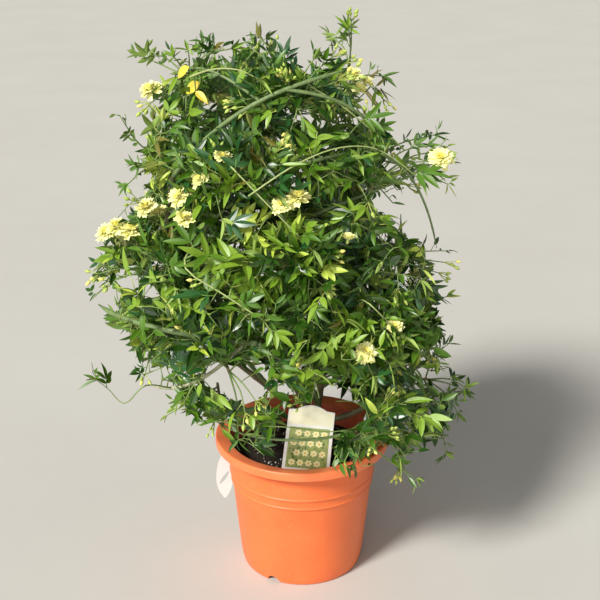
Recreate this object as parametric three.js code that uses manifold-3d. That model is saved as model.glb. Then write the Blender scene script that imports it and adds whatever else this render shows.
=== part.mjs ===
// A double yellow climbing rose, trained round itself, in a plastic nursery pot.
// Millimetres, +Z up, -Y is the front. The origin is the middle of the pot's flat underside.
// A turn is an angle round the crown in degrees: 0 is the front, 90 the right, 180 the back.
import * as THREE from 'three';
import { mergeVertices } from 'three/addons/utils/BufferGeometryUtils.js';
import Module from 'manifold-3d';

const wasm = await Module();
wasm.setup();

const CLEARANCE = 0.3; // gap between two solids that touch in life
const UP = new THREE.Vector3(0, 0, 1);
const degrees = THREE.MathUtils.degToRad;

// Pot
const pot = {
  height: 148, wall: 1.6, facets: 30,
  discRadius: 26, footRadius: 61, footRing: 4, footRound: 4, floorLift: 1.5, floorThickness: 2.2,
  bodyLow: 14, bodyLowRadius: 66, bodyTopRadius: 74,
  beadLow: 97.5, beadHigh: 108, beadStep: 0.9, beadHeight: 1, beadTaper: 0.5,
  collarRadius: 77, collarDrop: 4.4, innerDrop: 2.7, innerStep: 1.2,
  rimRadius: 91, rimUnderDrop: 2.6, rimRound: 1.1, bandHeight: 9, bandWall: 1.7,
  notchWidth: 10, notchDepth: 14, notchFacets: 12, notchTurn: -31, notches: 3,
  drainRadius: 4.5, drainDepth: 12, drainFacets: 10, drainRing: 42, drains: 6,
};

// Soil
const soil = { height: 126, shoulder: 56, edgeDrop: 2.5, edgeFlare: 1, footRound: 2 };

// Label card in the soil and the tag under the rim
const card = {
  width: 49, topWidth: 46, height: 88, archHeight: 6, archShare: 0.62, archRise: 1, crownShare: 0.3,
  thickness: 0.9, sunk: 10, x: 1.5, y: -60, leanBack: 6, tilt: 6,
  room: 4, sideRoom: 3, depthRoom: 9, // how far foliage stays away from it
};
const tag = {
  x: -82.5, y: 25, top: 143.6, tip: 62, shoulder: 112, width: 18, thickness: 0.8,
  neckWidth: 5, neckLength: 7, swellLength: 13, pointShare: 0.72,
  slitLength: 17, slitWidth: 3, slitHeight: 112, slitTilt: -38,
};

// Crown: its axis leans left as it rises, and it is a little shallower than it is wide
const crown = {
  axisLow: 10, axisHigh: -25, leanFrom: 150, leanTo: 300, depthShare: 0.85,
  // height, reach to the left of the pot's middle, reach to the right
  outline: [
    [84, -95, 120], [110, -100, 172], [150, -104, 176], [184, -150, 179], [207, -166, 179],
    [250, -203, 162], [296, -219, 150], [349, -209, 141], [400, -180, 136], [450, -176, 146],
    [497, -152, 92], [545, -146, 72], [566, -100, 52], [584, -60, 60],
  ],
  undersideLeft: 222, undersideMiddle: 163, undersideRight: 88, undersideSpan: 125, undersideRoom: 30,
  rimRoom: 3, rimHeadroom: 4,
};

// Canes. Each starts on its parent at `along` (0 foot, 1 tip) and ends at a turn, height and reach.
// `from` is the turn it sets out in, `rise` bows it up, `quick` says how early it reaches outwards.
const trunk = {
  foot: [11, 6], buried: 3, top: [17, 0, 170], bend: [-1.5, 1, 0],
  radius: 6.6, flareRadius: 11.5, flareHeight: 6.5,
  headRadius: 7.6, knuckleFrom: 0.45, knuckleTo: 0.8, roundFrom: 0.86, roundShare: 0.45,
  sides: 10, steps: 9,
};
const canes = [
  { name: 'left_cane', parent: 'trunk', along: 0.62,
    from: -100, turn: -52, height: 438, out: 118, rise: 10, quick: 2.6, radius: [3.5, 2.6] },
  { name: 'upper_hoop', parent: 'left_cane', along: 1,
    from: -52, turn: 33, height: 538, out: 113, rise: 22, quick: 1, radius: [2.5, 1.9] },
  { name: 'upper_hoop_fall', parent: 'upper_hoop', along: 0.72,
    from: 8, turn: 62, height: 455, out: 122, rise: 16, quick: 1, radius: [1.8, 1.3] },
  { name: 'top_loop', parent: 'upper_hoop', along: 0.6,
    from: 0, turn: -62, height: 528, out: 96, rise: 16, quick: 1, radius: [1.6, 1.2] },
  { name: 'twin_cane', parent: 'left_cane', along: 0.16,
    from: -70, turn: -25, height: 470, out: 114, rise: 6, quick: 1.6, radius: [2.7, 1.9] },
  { name: 'diagonal_fall', parent: 'twin_cane', along: 1,
    from: -25, turn: 15, height: 384, out: 131, rise: 7, quick: 1, radius: [1.8, 1.2] },
  { name: 'front_arch', parent: 'twin_cane', along: 0.74,
    from: -36, turn: 47, height: 466, out: 118, rise: 22, quick: 1, radius: [1.9, 1.6] },
  { name: 'front_arch_fall', parent: 'front_arch', along: 1,
    from: 47, turn: 88, height: 352, out: 158, rise: 22, quick: 1, radius: [1.5, 1.0] },
  { name: 'front_riser', parent: 'trunk', along: 0.82,
    from: 24, turn: -9, height: 287, out: 110, rise: 22, quick: 1.7, radius: [3.6, 3.2] },
  { name: 'low_left_arm', parent: 'front_riser', along: 1,
    from: -9, turn: -81, height: 300, out: 178, rise: 5, quick: 1, radius: [3.1, 2.6] },
  { name: 'low_left_hoop', parent: 'low_left_arm', along: 0.06,
    from: -12, turn: -77, height: 216, out: 152, rise: -12, quick: 1, radius: [2.1, 1.6] },
  { name: 'centre_cane', parent: 'trunk', along: 0.97,
    from: 60, turn: 22, height: 404, out: 88, rise: 8, quick: 1.2, radius: [3.1, 2.2] },
  { name: 'right_reach', parent: 'centre_cane', along: 1,
    from: 22, turn: 87, height: 440, out: 152, rise: 6, quick: 1, radius: [2.0, 1.2] },
  { name: 'right_fall', parent: 'centre_cane', along: 0.6,
    from: 26, turn: 74, height: 258, out: 134, rise: 26, quick: 1.2, radius: [2.0, 1.3] },
  { name: 'right_low_cane', parent: 'trunk', along: 0.72,
    from: 74, turn: 84, height: 205, out: 96, rise: -6, quick: 1, radius: [3.6, 3.0] },
  { name: 'right_cane', parent: 'right_low_cane', along: 1,
    from: 84, turn: 104, height: 378, out: 128, rise: 0, quick: 1.8, radius: [2.8, 1.8] },
  { name: 'pot_front_cane', parent: 'right_low_cane', along: 0.8,
    from: 80, turn: -50, height: 186, out: 112, rise: -4, quick: 1.6, radius: [2.2, 1.2] },
  { name: 'back_left_cane', parent: 'trunk', along: 0.76,
    from: -150, turn: -128, height: 430, out: 120, rise: 6, quick: 2.2, radius: [3.4, 2.3] },
  { name: 'back_left_arch', parent: 'back_left_cane', along: 1,
    from: -128, turn: -206, height: 500, out: 108, rise: 26, quick: 1, radius: [2.2, 1.4] },
  { name: 'back_right_cane', parent: 'trunk', along: 0.9,
    from: 150, turn: 140, height: 400, out: 122, rise: 6, quick: 2.0, radius: [3.2, 2.2] },
  { name: 'back_right_arch', parent: 'back_right_cane', along: 1,
    from: 140, turn: 92, height: 492, out: 96, rise: 18, quick: 1, radius: [2.1, 1.3] },
  { name: 'back_low_left_arm', parent: 'back_left_cane', along: 0.2,
    from: -132, turn: -104, height: 262, out: 168, rise: 10, quick: 1.3, radius: [2.6, 1.9] },
  { name: 'back_low_hoop', parent: 'back_right_cane', along: 0.2,
    from: 146, turn: 212, height: 236, out: 142, rise: 12, quick: 1.5, radius: [2.5, 1.7] },
  { name: 'back_low_right_arm', parent: 'back_right_cane', along: 0.12,
    from: 128, turn: 112, height: 196, out: 148, rise: 16, quick: 1.4, radius: [2.3, 1.6] },
];
const caneShape = { steps: 8, sides: 5, pathPoints: 7 };

// Masses of foliage in rings, from the pot's rim to the top
const rings = [
  { name: 'skirt', height: 188, count: 5, first: 20, share: 0.66 },
  { name: 'lower', height: 262, count: 6, first: -20, share: 0.62 },
  { name: 'middle', height: 345, count: 5, first: 8, share: 0.62 },
  { name: 'upper', height: 428, count: 5, first: -22, share: 0.62 },
  { name: 'top', height: 500, count: 4, first: 20, share: 0.52 },
];
const stagger = { height: 14, turn: 2.4 }; // lifts and lowers the centres of a ring by turns
// Shoots that lead out to the crown's furthest points: x, y and height
const leaders = [
  [46, -26, 578], [-66, -40, 562], [-12, -30, 566], [-118, -20, 546], [-172, -8, 470], [-212, -20, 300],
  [-200, -50, 222], [146, 8, 462], [174, 4, 208], [168, -16, 200], [108, -84, 92], [44, -108, 152],
];
const leading = { starts: [0.97, 0.85, 0.7, 0.5, 0.3], leafShare: 0.9, wander: 12, tries: 6 };
// Open blossoms that show from a step away
const blossoms = [
  [-174, -37, 380], [-160, -52, 388], [-141, -72, 412], [-138, -30, 511], [-107, -101, 430],
  [-102, -104, 412], [-88, -111, 446], [-1, -126, 434], [48, -56, 529], [128, -44, 452],
  [57, -124, 291], [85, -102, 307], [-30, 122, 440], [60, 104, 380], [-120, 84, 330], [40, 84, 500],
];

// Twigs, leaves and blossom
const growth = {
  stemRadius: 2.5, stemTip: 1.9, stemBow: 4, stemPast: 14, stemLift: 8, stemFrom: 30, stemRoom: 3,
  leaves: 13, attempts: 160, fewest: 3, lowest: 0.4, highest: 0.98, spacing: 0.618, turn: 2.4,
  droop: 0.13, outward: 1.2, upward: 0.3, upwardSpread: 1.4,
  twigRadius: 0.95, twigTip: 0.8, twigLength: [30, 66], shorten: 0.84, shortest: 14,
  leafLength: 54, leafWidth: 20, leafThickness: 1.4, leafSpread: 44, leafJitter: 40, leafRoll: 90,
  leafLift: 0.7, leafLevel: 0.45, leafPlaces: [[1, 0], [0.9, 1], [0.78, -1], [0.6, 1.3], [0.4, -1.3]],
  leafTries: 5, sunk: 0.3, tipSunk: 3,
  flowerRadius: 11, flowerFlat: 0.55, flowerLift: 0.6, flowerRim: 0.8, flowerPoints: 6,
  flowerStarts: [0.97, 0.8, 0.6],
};
// Clearances in a mass: to its cell's walls, to limbs, and between its own leaves and twigs
const room = {
  cell: 0.35, leafCell: 0.7, limb: 2.2, twigLimb: 0.8, flowerLimb: 1, leafGap: 5.5, twigGap: 4.5,
  nearBase: 7, sampleStep: 3, limbStep: 2.5, takenStep: 4, takenFrom: 3, tidy: 0.02,
};

const finishes = {
  terracotta: { color: 0xf5874e, roughness: 0.45, metalness: 0 },
  peat: { color: 0x1d1713, roughness: 1, metalness: 0 },
  card: { color: 0xf2f0df, roughness: 0.35, metalness: 0 },
  bark: { color: 0x7a6a4c, roughness: 0.85, metalness: 0 },
  cane: { color: 0x8fa070, roughness: 0.6, metalness: 0 },
  foliage: { color: 0x3c7a2c, roughness: 0.45, metalness: 0 },
};

// Closed solids

function toSolid(geometry) {
  const bare = geometry.clone();
  bare.deleteAttribute('normal');
  bare.deleteAttribute('uv');
  const merged = mergeVertices(bare, 1e-4);
  return new wasm.Manifold(new wasm.Mesh({
    numProp: 3,
    vertProperties: new Float32Array(merged.attributes.position.array),
    triVerts: new Uint32Array(merged.index.array),
  }));
}

function toGeometry(solid) {
  const mesh = solid.getMesh();
  const geometry = new THREE.BufferGeometry();
  geometry.setAttribute('position', new THREE.BufferAttribute(new Float32Array(mesh.vertProperties), 3));
  geometry.setIndex(new THREE.BufferAttribute(new Uint32Array(mesh.triVerts), 1));
  geometry.computeVertexNormals();
  return geometry;
}

function largestPiece(solid) {
  const pieces = solid.decompose().filter((piece) => piece.volume() > 0);
  return pieces.sort((a, b) => b.volume() - a.volume())[0];
}

// A tapered cylinder bent along a curve
function bentLimb(curve, radiusAt, sides, steps, grow = 0) {
  const frames = curve.computeFrenetFrames(steps, false);
  const points = curve.getSpacedPoints(steps);
  const geometry = new THREE.CylinderGeometry(1, 1, 1, sides, steps);
  const position = geometry.attributes.position;
  const corner = grow / Math.cos(Math.PI / sides);
  for (let i = 0; i < position.count; i += 1) {
    const t = position.getY(i) + 0.5;
    const step = Math.round(t * steps);
    const radius = radiusAt(t) + corner;
    const place = points[step].clone()
      .addScaledVector(frames.normals[step], -position.getX(i) * radius)
      .addScaledVector(frames.binormals[step], position.getZ(i) * radius);
    if (step === 0) place.addScaledVector(frames.tangents[step], -grow);
    if (step === steps) place.addScaledVector(frames.tangents[step], grow);
    position.setXYZ(i, place.x, place.y, place.z);
  }
  return toSolid(geometry);
}

// Places in the crown

function axisAt(height) {
  const t = THREE.MathUtils.smoothstep(height, crown.leanFrom, crown.leanTo);
  return THREE.MathUtils.lerp(crown.axisLow, crown.axisHigh, t);
}

function place(turn, height, out) {
  const angle = degrees(turn);
  return new THREE.Vector3(
    axisAt(height) + out * Math.sin(angle), -crown.depthShare * out * Math.cos(angle), height);
}

function outlineAt(height) {
  const rows = crown.outline;
  const top = rows.findIndex((row) => row[0] >= height);
  if (top <= 0) return top === 0 ? rows[0].slice(1) : rows[rows.length - 1].slice(1);
  const [below, above] = [rows[top - 1], rows[top]];
  const t = (height - below[0]) / (above[0] - below[0]);
  return [1, 2].map((side) => THREE.MathUtils.lerp(below[side], above[side], t));
}

function undersideAt(x) {
  const t = x / crown.undersideSpan;
  return t < 0
    ? THREE.MathUtils.lerp(crown.undersideMiddle, crown.undersideLeft, Math.min(-t, 1))
    : THREE.MathUtils.lerp(crown.undersideMiddle, crown.undersideRight, Math.min(t * t, 1));
}

// 1 on the crown's outer surface, less inside it
function spread(p) {
  const [left, right] = outlineAt(p.z);
  const half = (right - left) / 2;
  return Math.hypot((p.x - (left + right) / 2) / half, p.y / (crown.depthShare * half));
}

function insideCrown(p) {
  const [lowest, highest] = [crown.outline[0][0], crown.outline[crown.outline.length - 1][0]];
  if (p.z < lowest || p.z > highest || p.z < undersideAt(p.x)) return false;
  const overPot = Math.hypot(p.x, p.y) < pot.rimRadius + crown.rimRoom;
  if (overPot && p.z < pot.height + crown.rimHeadroom) return false;
  return spread(p) <= 1;
}

// Pot, soil, card and tag

function potOutline() {
  const p = pot;
  const inner = p.collarRadius - p.wall;
  const top = p.height;
  const under = top - p.bandHeight;
  const band = p.rimRadius - p.bandWall;
  const ring = p.footRadius - p.footRing;
  const overBead = p.bodyTopRadius + p.beadStep + p.beadTaper;
  const outside = [
    [0, 0], [p.discRadius, 0], [p.discRadius + 1, p.floorLift], [ring - 1, p.floorLift],
    [ring, 0], [p.footRadius, 0], [p.footRadius + p.footRound * 0.7, p.footRound * 0.35],
    [p.footRadius + p.footRound, p.footRound * 1.4],
    [p.bodyLowRadius, p.bodyLow], [p.bodyTopRadius, p.beadLow],
    [p.bodyTopRadius + p.beadStep, p.beadLow + p.beadHeight], [overBead, p.beadHigh],
    [overBead + p.beadStep, p.beadHigh + p.beadHeight], [p.collarRadius, top - p.collarDrop],
    [band, top - p.rimUnderDrop], [band, under], [p.rimRadius, under],
    [p.rimRadius, top - p.rimRound], [p.rimRadius - p.rimRound, top],
  ];
  const floorTop = p.floorLift + p.floorThickness;
  const inside = [
    [inner + 1, top - p.innerDrop], [inner, top - p.innerDrop - p.innerStep],
    [p.bodyTopRadius - p.wall, p.beadLow], [p.bodyLowRadius - p.wall, p.bodyLow],
    [p.footRadius + 1, floorTop + 1], [p.footRadius - 1, floorTop], [0, floorTop],
  ];
  return [...outside, ...inside].map(([r, z]) => new THREE.Vector2(r, z));
}

// A lathe turned about +Z
function turned(points, facets) {
  return new THREE.LatheGeometry(points, facets).rotateX(Math.PI / 2);
}

function uprightCylinder(radius, length, facets) {
  return new THREE.CylinderGeometry(radius, radius, length, facets).rotateX(Math.PI / 2);
}

function makePot() {
  const p = pot;
  let solid = toSolid(turned(potOutline(), p.facets));
  for (let i = 0; i < p.notches; i += 1) {
    const arch = p.notchWidth / 2;
    const notch = new THREE.CylinderGeometry(arch, arch, p.notchDepth, p.notchFacets);
    notch.translate(0, -p.footRadius, 0).rotateZ(degrees(p.notchTurn + (360 / p.notches) * i));
    solid = solid.subtract(toSolid(notch));
  }
  for (let i = 0; i < p.drains; i += 1) {
    const angle = degrees((360 / p.drains) * (i + 0.5));
    const drain = uprightCylinder(p.drainRadius, p.drainDepth, p.drainFacets);
    drain.translate(p.drainRing * Math.sin(angle), -p.drainRing * Math.cos(angle), 0);
    solid = solid.subtract(toSolid(drain));
  }
  return solid;
}

function soilOutline() {
  const low = pot.bodyLowRadius - pot.wall - 2 * CLEARANCE;
  const high = pot.bodyTopRadius - pot.wall - 2 * CLEARANCE;
  const bottom = pot.floorLift + pot.floorThickness + CLEARANCE;
  return [
    [0, bottom], [pot.footRadius - soil.footRound, bottom], [pot.footRadius, bottom + soil.footRound],
    [low, pot.bodyLow], [high, pot.beadLow], [high + soil.edgeFlare, soil.height - soil.edgeDrop],
    [soil.shoulder, soil.height], [0, soil.height],
  ].map(([r, z]) => new THREE.Vector2(r, z));
}

// The card's outline: a slight taper and an arched top
function cardOutline(grow = 0) {
  const [low, high] = [card.width / 2 + grow, card.topWidth / 2 + grow];
  const shoulder = card.height - card.archHeight + grow;
  const top = card.height + grow;
  const [arch, bend] = [high * card.archShare, high * card.crownShare];
  const shape = new THREE.Shape();
  shape.moveTo(-low, -grow);
  shape.lineTo(low, -grow);
  shape.lineTo(high, shoulder);
  shape.lineTo(arch, shoulder + card.archRise);
  shape.quadraticCurveTo(bend, top, 0, top);
  shape.quadraticCurveTo(-bend, top, -arch, shoulder + card.archRise);
  shape.lineTo(-high, shoulder);
  shape.closePath();
  return shape;
}

// An upright plate facing the front, its outline drawn in width and height
function plate(shape, thickness, curveSegments) {
  const options = { depth: thickness, bevelEnabled: false, curveSegments };
  return new THREE.ExtrudeGeometry(shape, options).translate(0, 0, -thickness / 2).rotateX(Math.PI / 2);
}

function makeCard(grow = 0) {
  const geometry = plate(cardOutline(grow), card.thickness + 2 * grow, 4);
  geometry.rotateX(degrees(-card.leanBack)).rotateY(degrees(card.tilt));
  return toSolid(geometry.translate(card.x, card.y, soil.height - card.sunk));
}

function tagOutline() {
  const half = tag.width / 2;
  const neck = tag.neckWidth / 2;
  const low = tag.tip - tag.top;
  const middle = tag.shoulder - tag.top;
  const [neckFoot, swell, point] = [-tag.neckLength, -tag.swellLength, low * tag.pointShare];
  const shape = new THREE.Shape();
  shape.moveTo(-neck, 0);
  shape.lineTo(-neck, neckFoot);
  shape.quadraticCurveTo(-half, swell, -half, middle);
  shape.quadraticCurveTo(-half, point, 0, low);
  shape.quadraticCurveTo(half, point, half, middle);
  shape.quadraticCurveTo(half, swell, neck, neckFoot);
  shape.lineTo(neck, 0);
  shape.closePath();
  return shape;
}

function makeTag() {
  const body = plate(tagOutline(), tag.thickness, 5).translate(tag.x, tag.y, tag.top);
  const slit = new THREE.CylinderGeometry(1, 1, 4 * tag.thickness, 8);
  slit.scale(tag.slitWidth / 2, 1, tag.slitLength / 2).rotateY(degrees(tag.slitTilt));
  return toSolid(body).subtract(toSolid(slit.translate(tag.x, tag.y, tag.slitHeight)));
}

// Trunk and canes

const limbs = new Map(); // name: { curve, radiusAt, sides, steps }

function addTrunk() {
  const [x, y, z] = trunk.top;
  const foot = new THREE.Vector3(...trunk.foot, soil.height - trunk.buried);
  const top = new THREE.Vector3(x, y, z);
  const bend = foot.clone().lerp(top, 0.5).add(new THREE.Vector3(...trunk.bend));
  const curve = new THREE.CatmullRomCurve3([foot, bend, top]);
  const length = z - soil.height;
  const radiusAt = (t) => {
    const flare = Math.exp((-t * length) / trunk.flareHeight);
    const knuckle = THREE.MathUtils.smoothstep(t, trunk.knuckleFrom, trunk.knuckleTo);
    const rounded = 1 - trunk.roundShare * THREE.MathUtils.smoothstep(t, trunk.roundFrom, 1);
    return trunk.radius + (trunk.flareRadius - trunk.radius) * flare
      + (trunk.headRadius - trunk.radius) * knuckle * rounded;
  };
  limbs.set('trunk', { curve, radiusAt, sides: trunk.sides, steps: trunk.steps });
}

// The path turns, climbs and reaches outwards together, each by its own pace
function addCane(cane) {
  const parent = limbs.get(cane.parent);
  const start = parent.curve.getPointAt(cane.along);
  const startOut = Math.hypot(start.x - axisAt(start.z), start.y / crown.depthShare);
  const points = [start];
  const count = caneShape.pathPoints;
  for (let i = 1; i <= count; i += 1) {
    const t = i / count;
    const reached = 1 - (1 - t) ** cane.quick;
    const turn = THREE.MathUtils.lerp(cane.from, cane.turn, t);
    const height = THREE.MathUtils.lerp(start.z, cane.height, t) + cane.rise * Math.sin(Math.PI * t);
    points.push(place(turn, height, THREE.MathUtils.lerp(startOut, cane.out, reached)));
  }
  // the first points ease away from where the cane really starts
  const drift = start.clone().sub(place(cane.from, start.z, startOut));
  for (let i = 1; i <= count; i += 1) points[i].addScaledVector(drift, (1 - i / count) ** 3);
  const curve = new THREE.CatmullRomCurve3(points);
  const radiusAt = (t) => THREE.MathUtils.lerp(cane.radius[0], cane.radius[1], t);
  limbs.set(cane.name, { curve, radiusAt, sides: caneShape.sides, steps: caneShape.steps });
}

function limbSolid(name, grow = 0) {
  const limb = limbs.get(name);
  const solid = bentLimb(limb.curve, limb.radiusAt, limb.sides, limb.steps, grow);
  return name === 'trunk' ? solid.trimByPlane([0, 0, 1], soil.height + CLEARANCE) : solid;
}

// Seeded numbers between 0 and 1
function generator(seed) {
  let state = seed >>> 0;
  return () => {
    state = (state + 0x6d2b79f5) >>> 0;
    let t = Math.imul(state ^ (state >>> 15), state | 1);
    t = (t + Math.imul(t ^ (t >>> 7), t | 61)) ^ t;
    return ((t ^ (t >>> 14)) >>> 0) / 4294967296;
  };
}

// Masses: each owns the space that is nearer its centre than any other's

const masses = [];

function addMasses() {
  for (const ring of rings) {
    for (let i = 0; i < ring.count; i += 1) {
      const turn = ring.first + (360 / ring.count) * i;
      const [left, right] = outlineAt(ring.height);
      const half = ((right - left) / 2) * ring.share;
      const centre = new THREE.Vector3(
        (left + right) / 2 + half * Math.sin(degrees(turn)),
        -crown.depthShare * half * Math.cos(degrees(turn)), ring.height);
      centre.z += stagger.height * Math.sin(stagger.turn * masses.length);
      centre.z = Math.max(centre.z, undersideAt(centre.x) + crown.undersideRoom);
      masses.push({ name: `foliage_${ring.name}_${i + 1}`, centre, seed: 101 + 37 * masses.length });
    }
  }
}

const ownedBy = (mass, p, margin) => masses.every((other) => other === mass
  || p.distanceToSquared(other.centre) - p.distanceToSquared(mass.centre)
    > 2 * margin * other.centre.distanceTo(mass.centre));

// Points along every limb, for clearances and for where a mass sets out
const limbSamples = [];

function sampleLimbs() {
  for (const [name, limb] of limbs) {
    const count = Math.ceil(limb.curve.getLength() / room.limbStep);
    for (let i = 0; i <= count; i += 1) {
      const t = i / count;
      limbSamples.push({ name, point: limb.curve.getPointAt(t), radius: limb.radiusAt(t) });
    }
  }
}

const clearOfLimbs = (p, radius) => limbSamples.every((sample) => (
  p.distanceTo(sample.point) > sample.radius + radius));

const nearCard = (p) => Math.abs(p.x - card.x - card.room) < card.width / 2 + card.sideRoom
  && Math.abs(p.y - card.y - card.room) < card.depthRoom
  && p.z < soil.height + card.height - card.sunk + card.room;

function startOf(mass) {
  const open = limbSamples.filter((s) => s.name !== 'trunk' && ownedBy(mass, s.point, growth.stemRoom)
    && s.point.z > soil.height + growth.stemFrom);
  return open.sort((a, b) => a.point.distanceTo(mass.centre) - b.point.distanceTo(mass.centre))[0];
}

const outwardAt = (p) => new THREE.Vector3(
  p.x - axisAt(p.z), p.y / crown.depthShare ** 2, 0).normalize();

function pointsBetween(from, to, spacing) {
  const steps = Math.max(2, Math.ceil(from.distanceTo(to) / spacing));
  return Array.from({ length: steps + 1 }, (_, i) => from.clone().lerp(to, i / steps));
}

// Is the straight stretch free, for a twig this thick?
function free(mass, from, to, radius, taken) {
  return pointsBetween(from, to, room.sampleStep).every((p) => p.distanceTo(from) < room.nearBase
    || (ownedBy(mass, p, radius + room.cell) && insideCrown(p) && !nearCard(p)
      && clearOfLimbs(p, radius + room.twigLimb)
      && taken.every((other) => p.distanceTo(other) > room.twigGap)));
}

// A leaf's middle line, its two widest points and the points between: along and across, in shares
const leafPoints = [[0.2, 0], [0.4, 0], [0.6, 0], [0.8, 0], [1, 0], [0.5, 0.5], [0.5, -0.5], [0.5, 0.25],
  [0.5, -0.25], [0.3, 0.3], [0.3, -0.3], [0.7, 0.3], [0.7, -0.3]];

const samplesOf = (root, direction, side) => leafPoints.map(([along, across]) => root.clone()
  .addScaledVector(direction, along * growth.leafLength)
  .addScaledVector(side, across * growth.leafWidth));

function leafClear(mass, samples, taken) {
  for (const p of samples) {
    if (!ownedBy(mass, p, room.cell + room.leafCell) || !insideCrown(p) || nearCard(p)) return false;
    if (!clearOfLimbs(p, room.limb)) return false;
    if (taken.some((other) => p.distanceTo(other) < room.leafGap)) return false;
  }
  return true;
}

function leafSolid(root, direction, side, sunk) {
  const { leafLength: length, leafWidth: width, leafThickness: thickness } = growth;
  const normal = direction.clone().cross(side);
  const geometry = new THREE.OctahedronGeometry(1, 0).scale(length / 2, width / 2, thickness / 2);
  geometry.translate(length / 2 - sunk, 0, 0);
  geometry.applyMatrix4(new THREE.Matrix4().makeBasis(direction, side, normal).setPosition(root));
  return toSolid(geometry);
}

function twigSolid(points, radius, tipRadius, steps) {
  const curve = new THREE.CatmullRomCurve3(points);
  return bentLimb(curve, (t) => THREE.MathUtils.lerp(radius, tipRadius, t), 3, steps);
}

// The leaves that find room on a twig: three at its tip and single ones along it
function leavesFor(mass, base, tip, random, taken) {
  const along = tip.clone().sub(base).normalize();
  const across = along.clone().cross(UP).normalize();
  const lift = across.clone().cross(along).normalize();
  const placed = [];
  for (const [at, swing] of growth.leafPlaces) {
    const root = base.clone().lerp(tip, at);
    for (let attempt = 0; attempt < growth.leafTries; attempt += 1) {
      const angle = degrees(swing * growth.leafSpread + growth.leafJitter * (random() - 0.5));
      const roll = degrees(growth.leafRoll * (random() - 0.5));
      const direction = along.clone().multiplyScalar(Math.cos(angle))
        .addScaledVector(across, Math.sin(angle))
        .addScaledVector(lift, growth.leafLift * (random() - growth.leafLevel)).normalize();
      const side = direction.clone().cross(lift).normalize().applyAxisAngle(direction, roll);
      const samples = samplesOf(root, direction, side);
      if (leafClear(mass, samples, [...taken, ...placed.flatMap((leaf) => leaf.samples.slice(1))])) {
        const sunk = swing ? growth.sunk : growth.tipSunk;
        placed.push({ root, direction, side, samples, sunk });
        break;
      }
    }
  }
  return placed;
}

// A twig is as long as its space allows, and is kept when it bears enough leaves
function growTwig(mass, from, direction, length, random, fewest, taken) {
  for (let reach = length; reach >= growth.shortest; reach *= growth.shorten) {
    const tip = from.clone().addScaledVector(direction, reach);
    tip.z -= growth.droop * reach;
    if (free(mass, from, tip, growth.twigRadius, taken)) {
      const leaves = leavesFor(mass, from, tip, random, taken);
      if (leaves.length >= fewest) {
        const stretch = pointsBetween(from, tip, room.takenStep).slice(room.takenFrom);
        taken.push(...leaves.flatMap((leaf) => leaf.samples), ...stretch);
        return { from, tip, leaves };
      }
    }
  }
  return null;
}

// A shoot that carries its last leaf out to one of the crown's furthest points
function leadingTwig(mass, stem, tip, random, taken) {
  if (!ownedBy(mass, tip, 1)) return null;
  for (let attempt = 0; attempt < leading.tries; attempt += 1) {
    const shift = new THREE.Vector3(random() - 0.5, random() - 0.5, random() - 1);
    const goal = tip.clone().addScaledVector(shift, (leading.wander * attempt) / leading.tries);
    for (const along of leading.starts) {
      const base = stem.getPointAt(along);
      const direction = goal.clone().sub(base);
      direction.z += growth.droop * direction.length();
      const length = direction.length() - growth.leafLength * leading.leafShare;
      const twig = growTwig(mass, base, direction.normalize(), length, random, 1, taken);
      if (twig) return twig;
    }
  }
  return null;
}

function flowerTwig(mass, stem, at, taken) {
  const radius = growth.flowerRadius;
  if (!ownedBy(mass, at, radius) || !clearOfLimbs(at, radius + room.flowerLimb)) return null;
  for (const along of growth.flowerStarts) {
    const from = stem.getPointAt(along);
    if (free(mass, from, at, growth.twigRadius, taken)) {
      const facing = outwardAt(at).addScaledVector(UP, growth.flowerLift).normalize();
      for (let i = 0; i < growth.flowerPoints; i += 1) {
        const rim = new THREE.Vector3(growth.flowerRim * radius, 0, 0);
        taken.push(rim.applyAxisAngle(UP, degrees((360 / growth.flowerPoints) * i)).add(at));
      }
      taken.push(at, ...pointsBetween(from, at, room.takenStep).slice(room.takenFrom));
      return { from, at, facing };
    }
  }
  return null;
}

// A double blossom: a flattened ball that faces out of the crown
function flowerSolid(at, facing) {
  const turnTo = new THREE.Quaternion().setFromUnitVectors(UP, facing);
  const geometry = new THREE.IcosahedronGeometry(growth.flowerRadius, 0).scale(1, 1, growth.flowerFlat);
  return toSolid(geometry.applyQuaternion(turnTo).translate(at.x, at.y, at.z));
}

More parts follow.
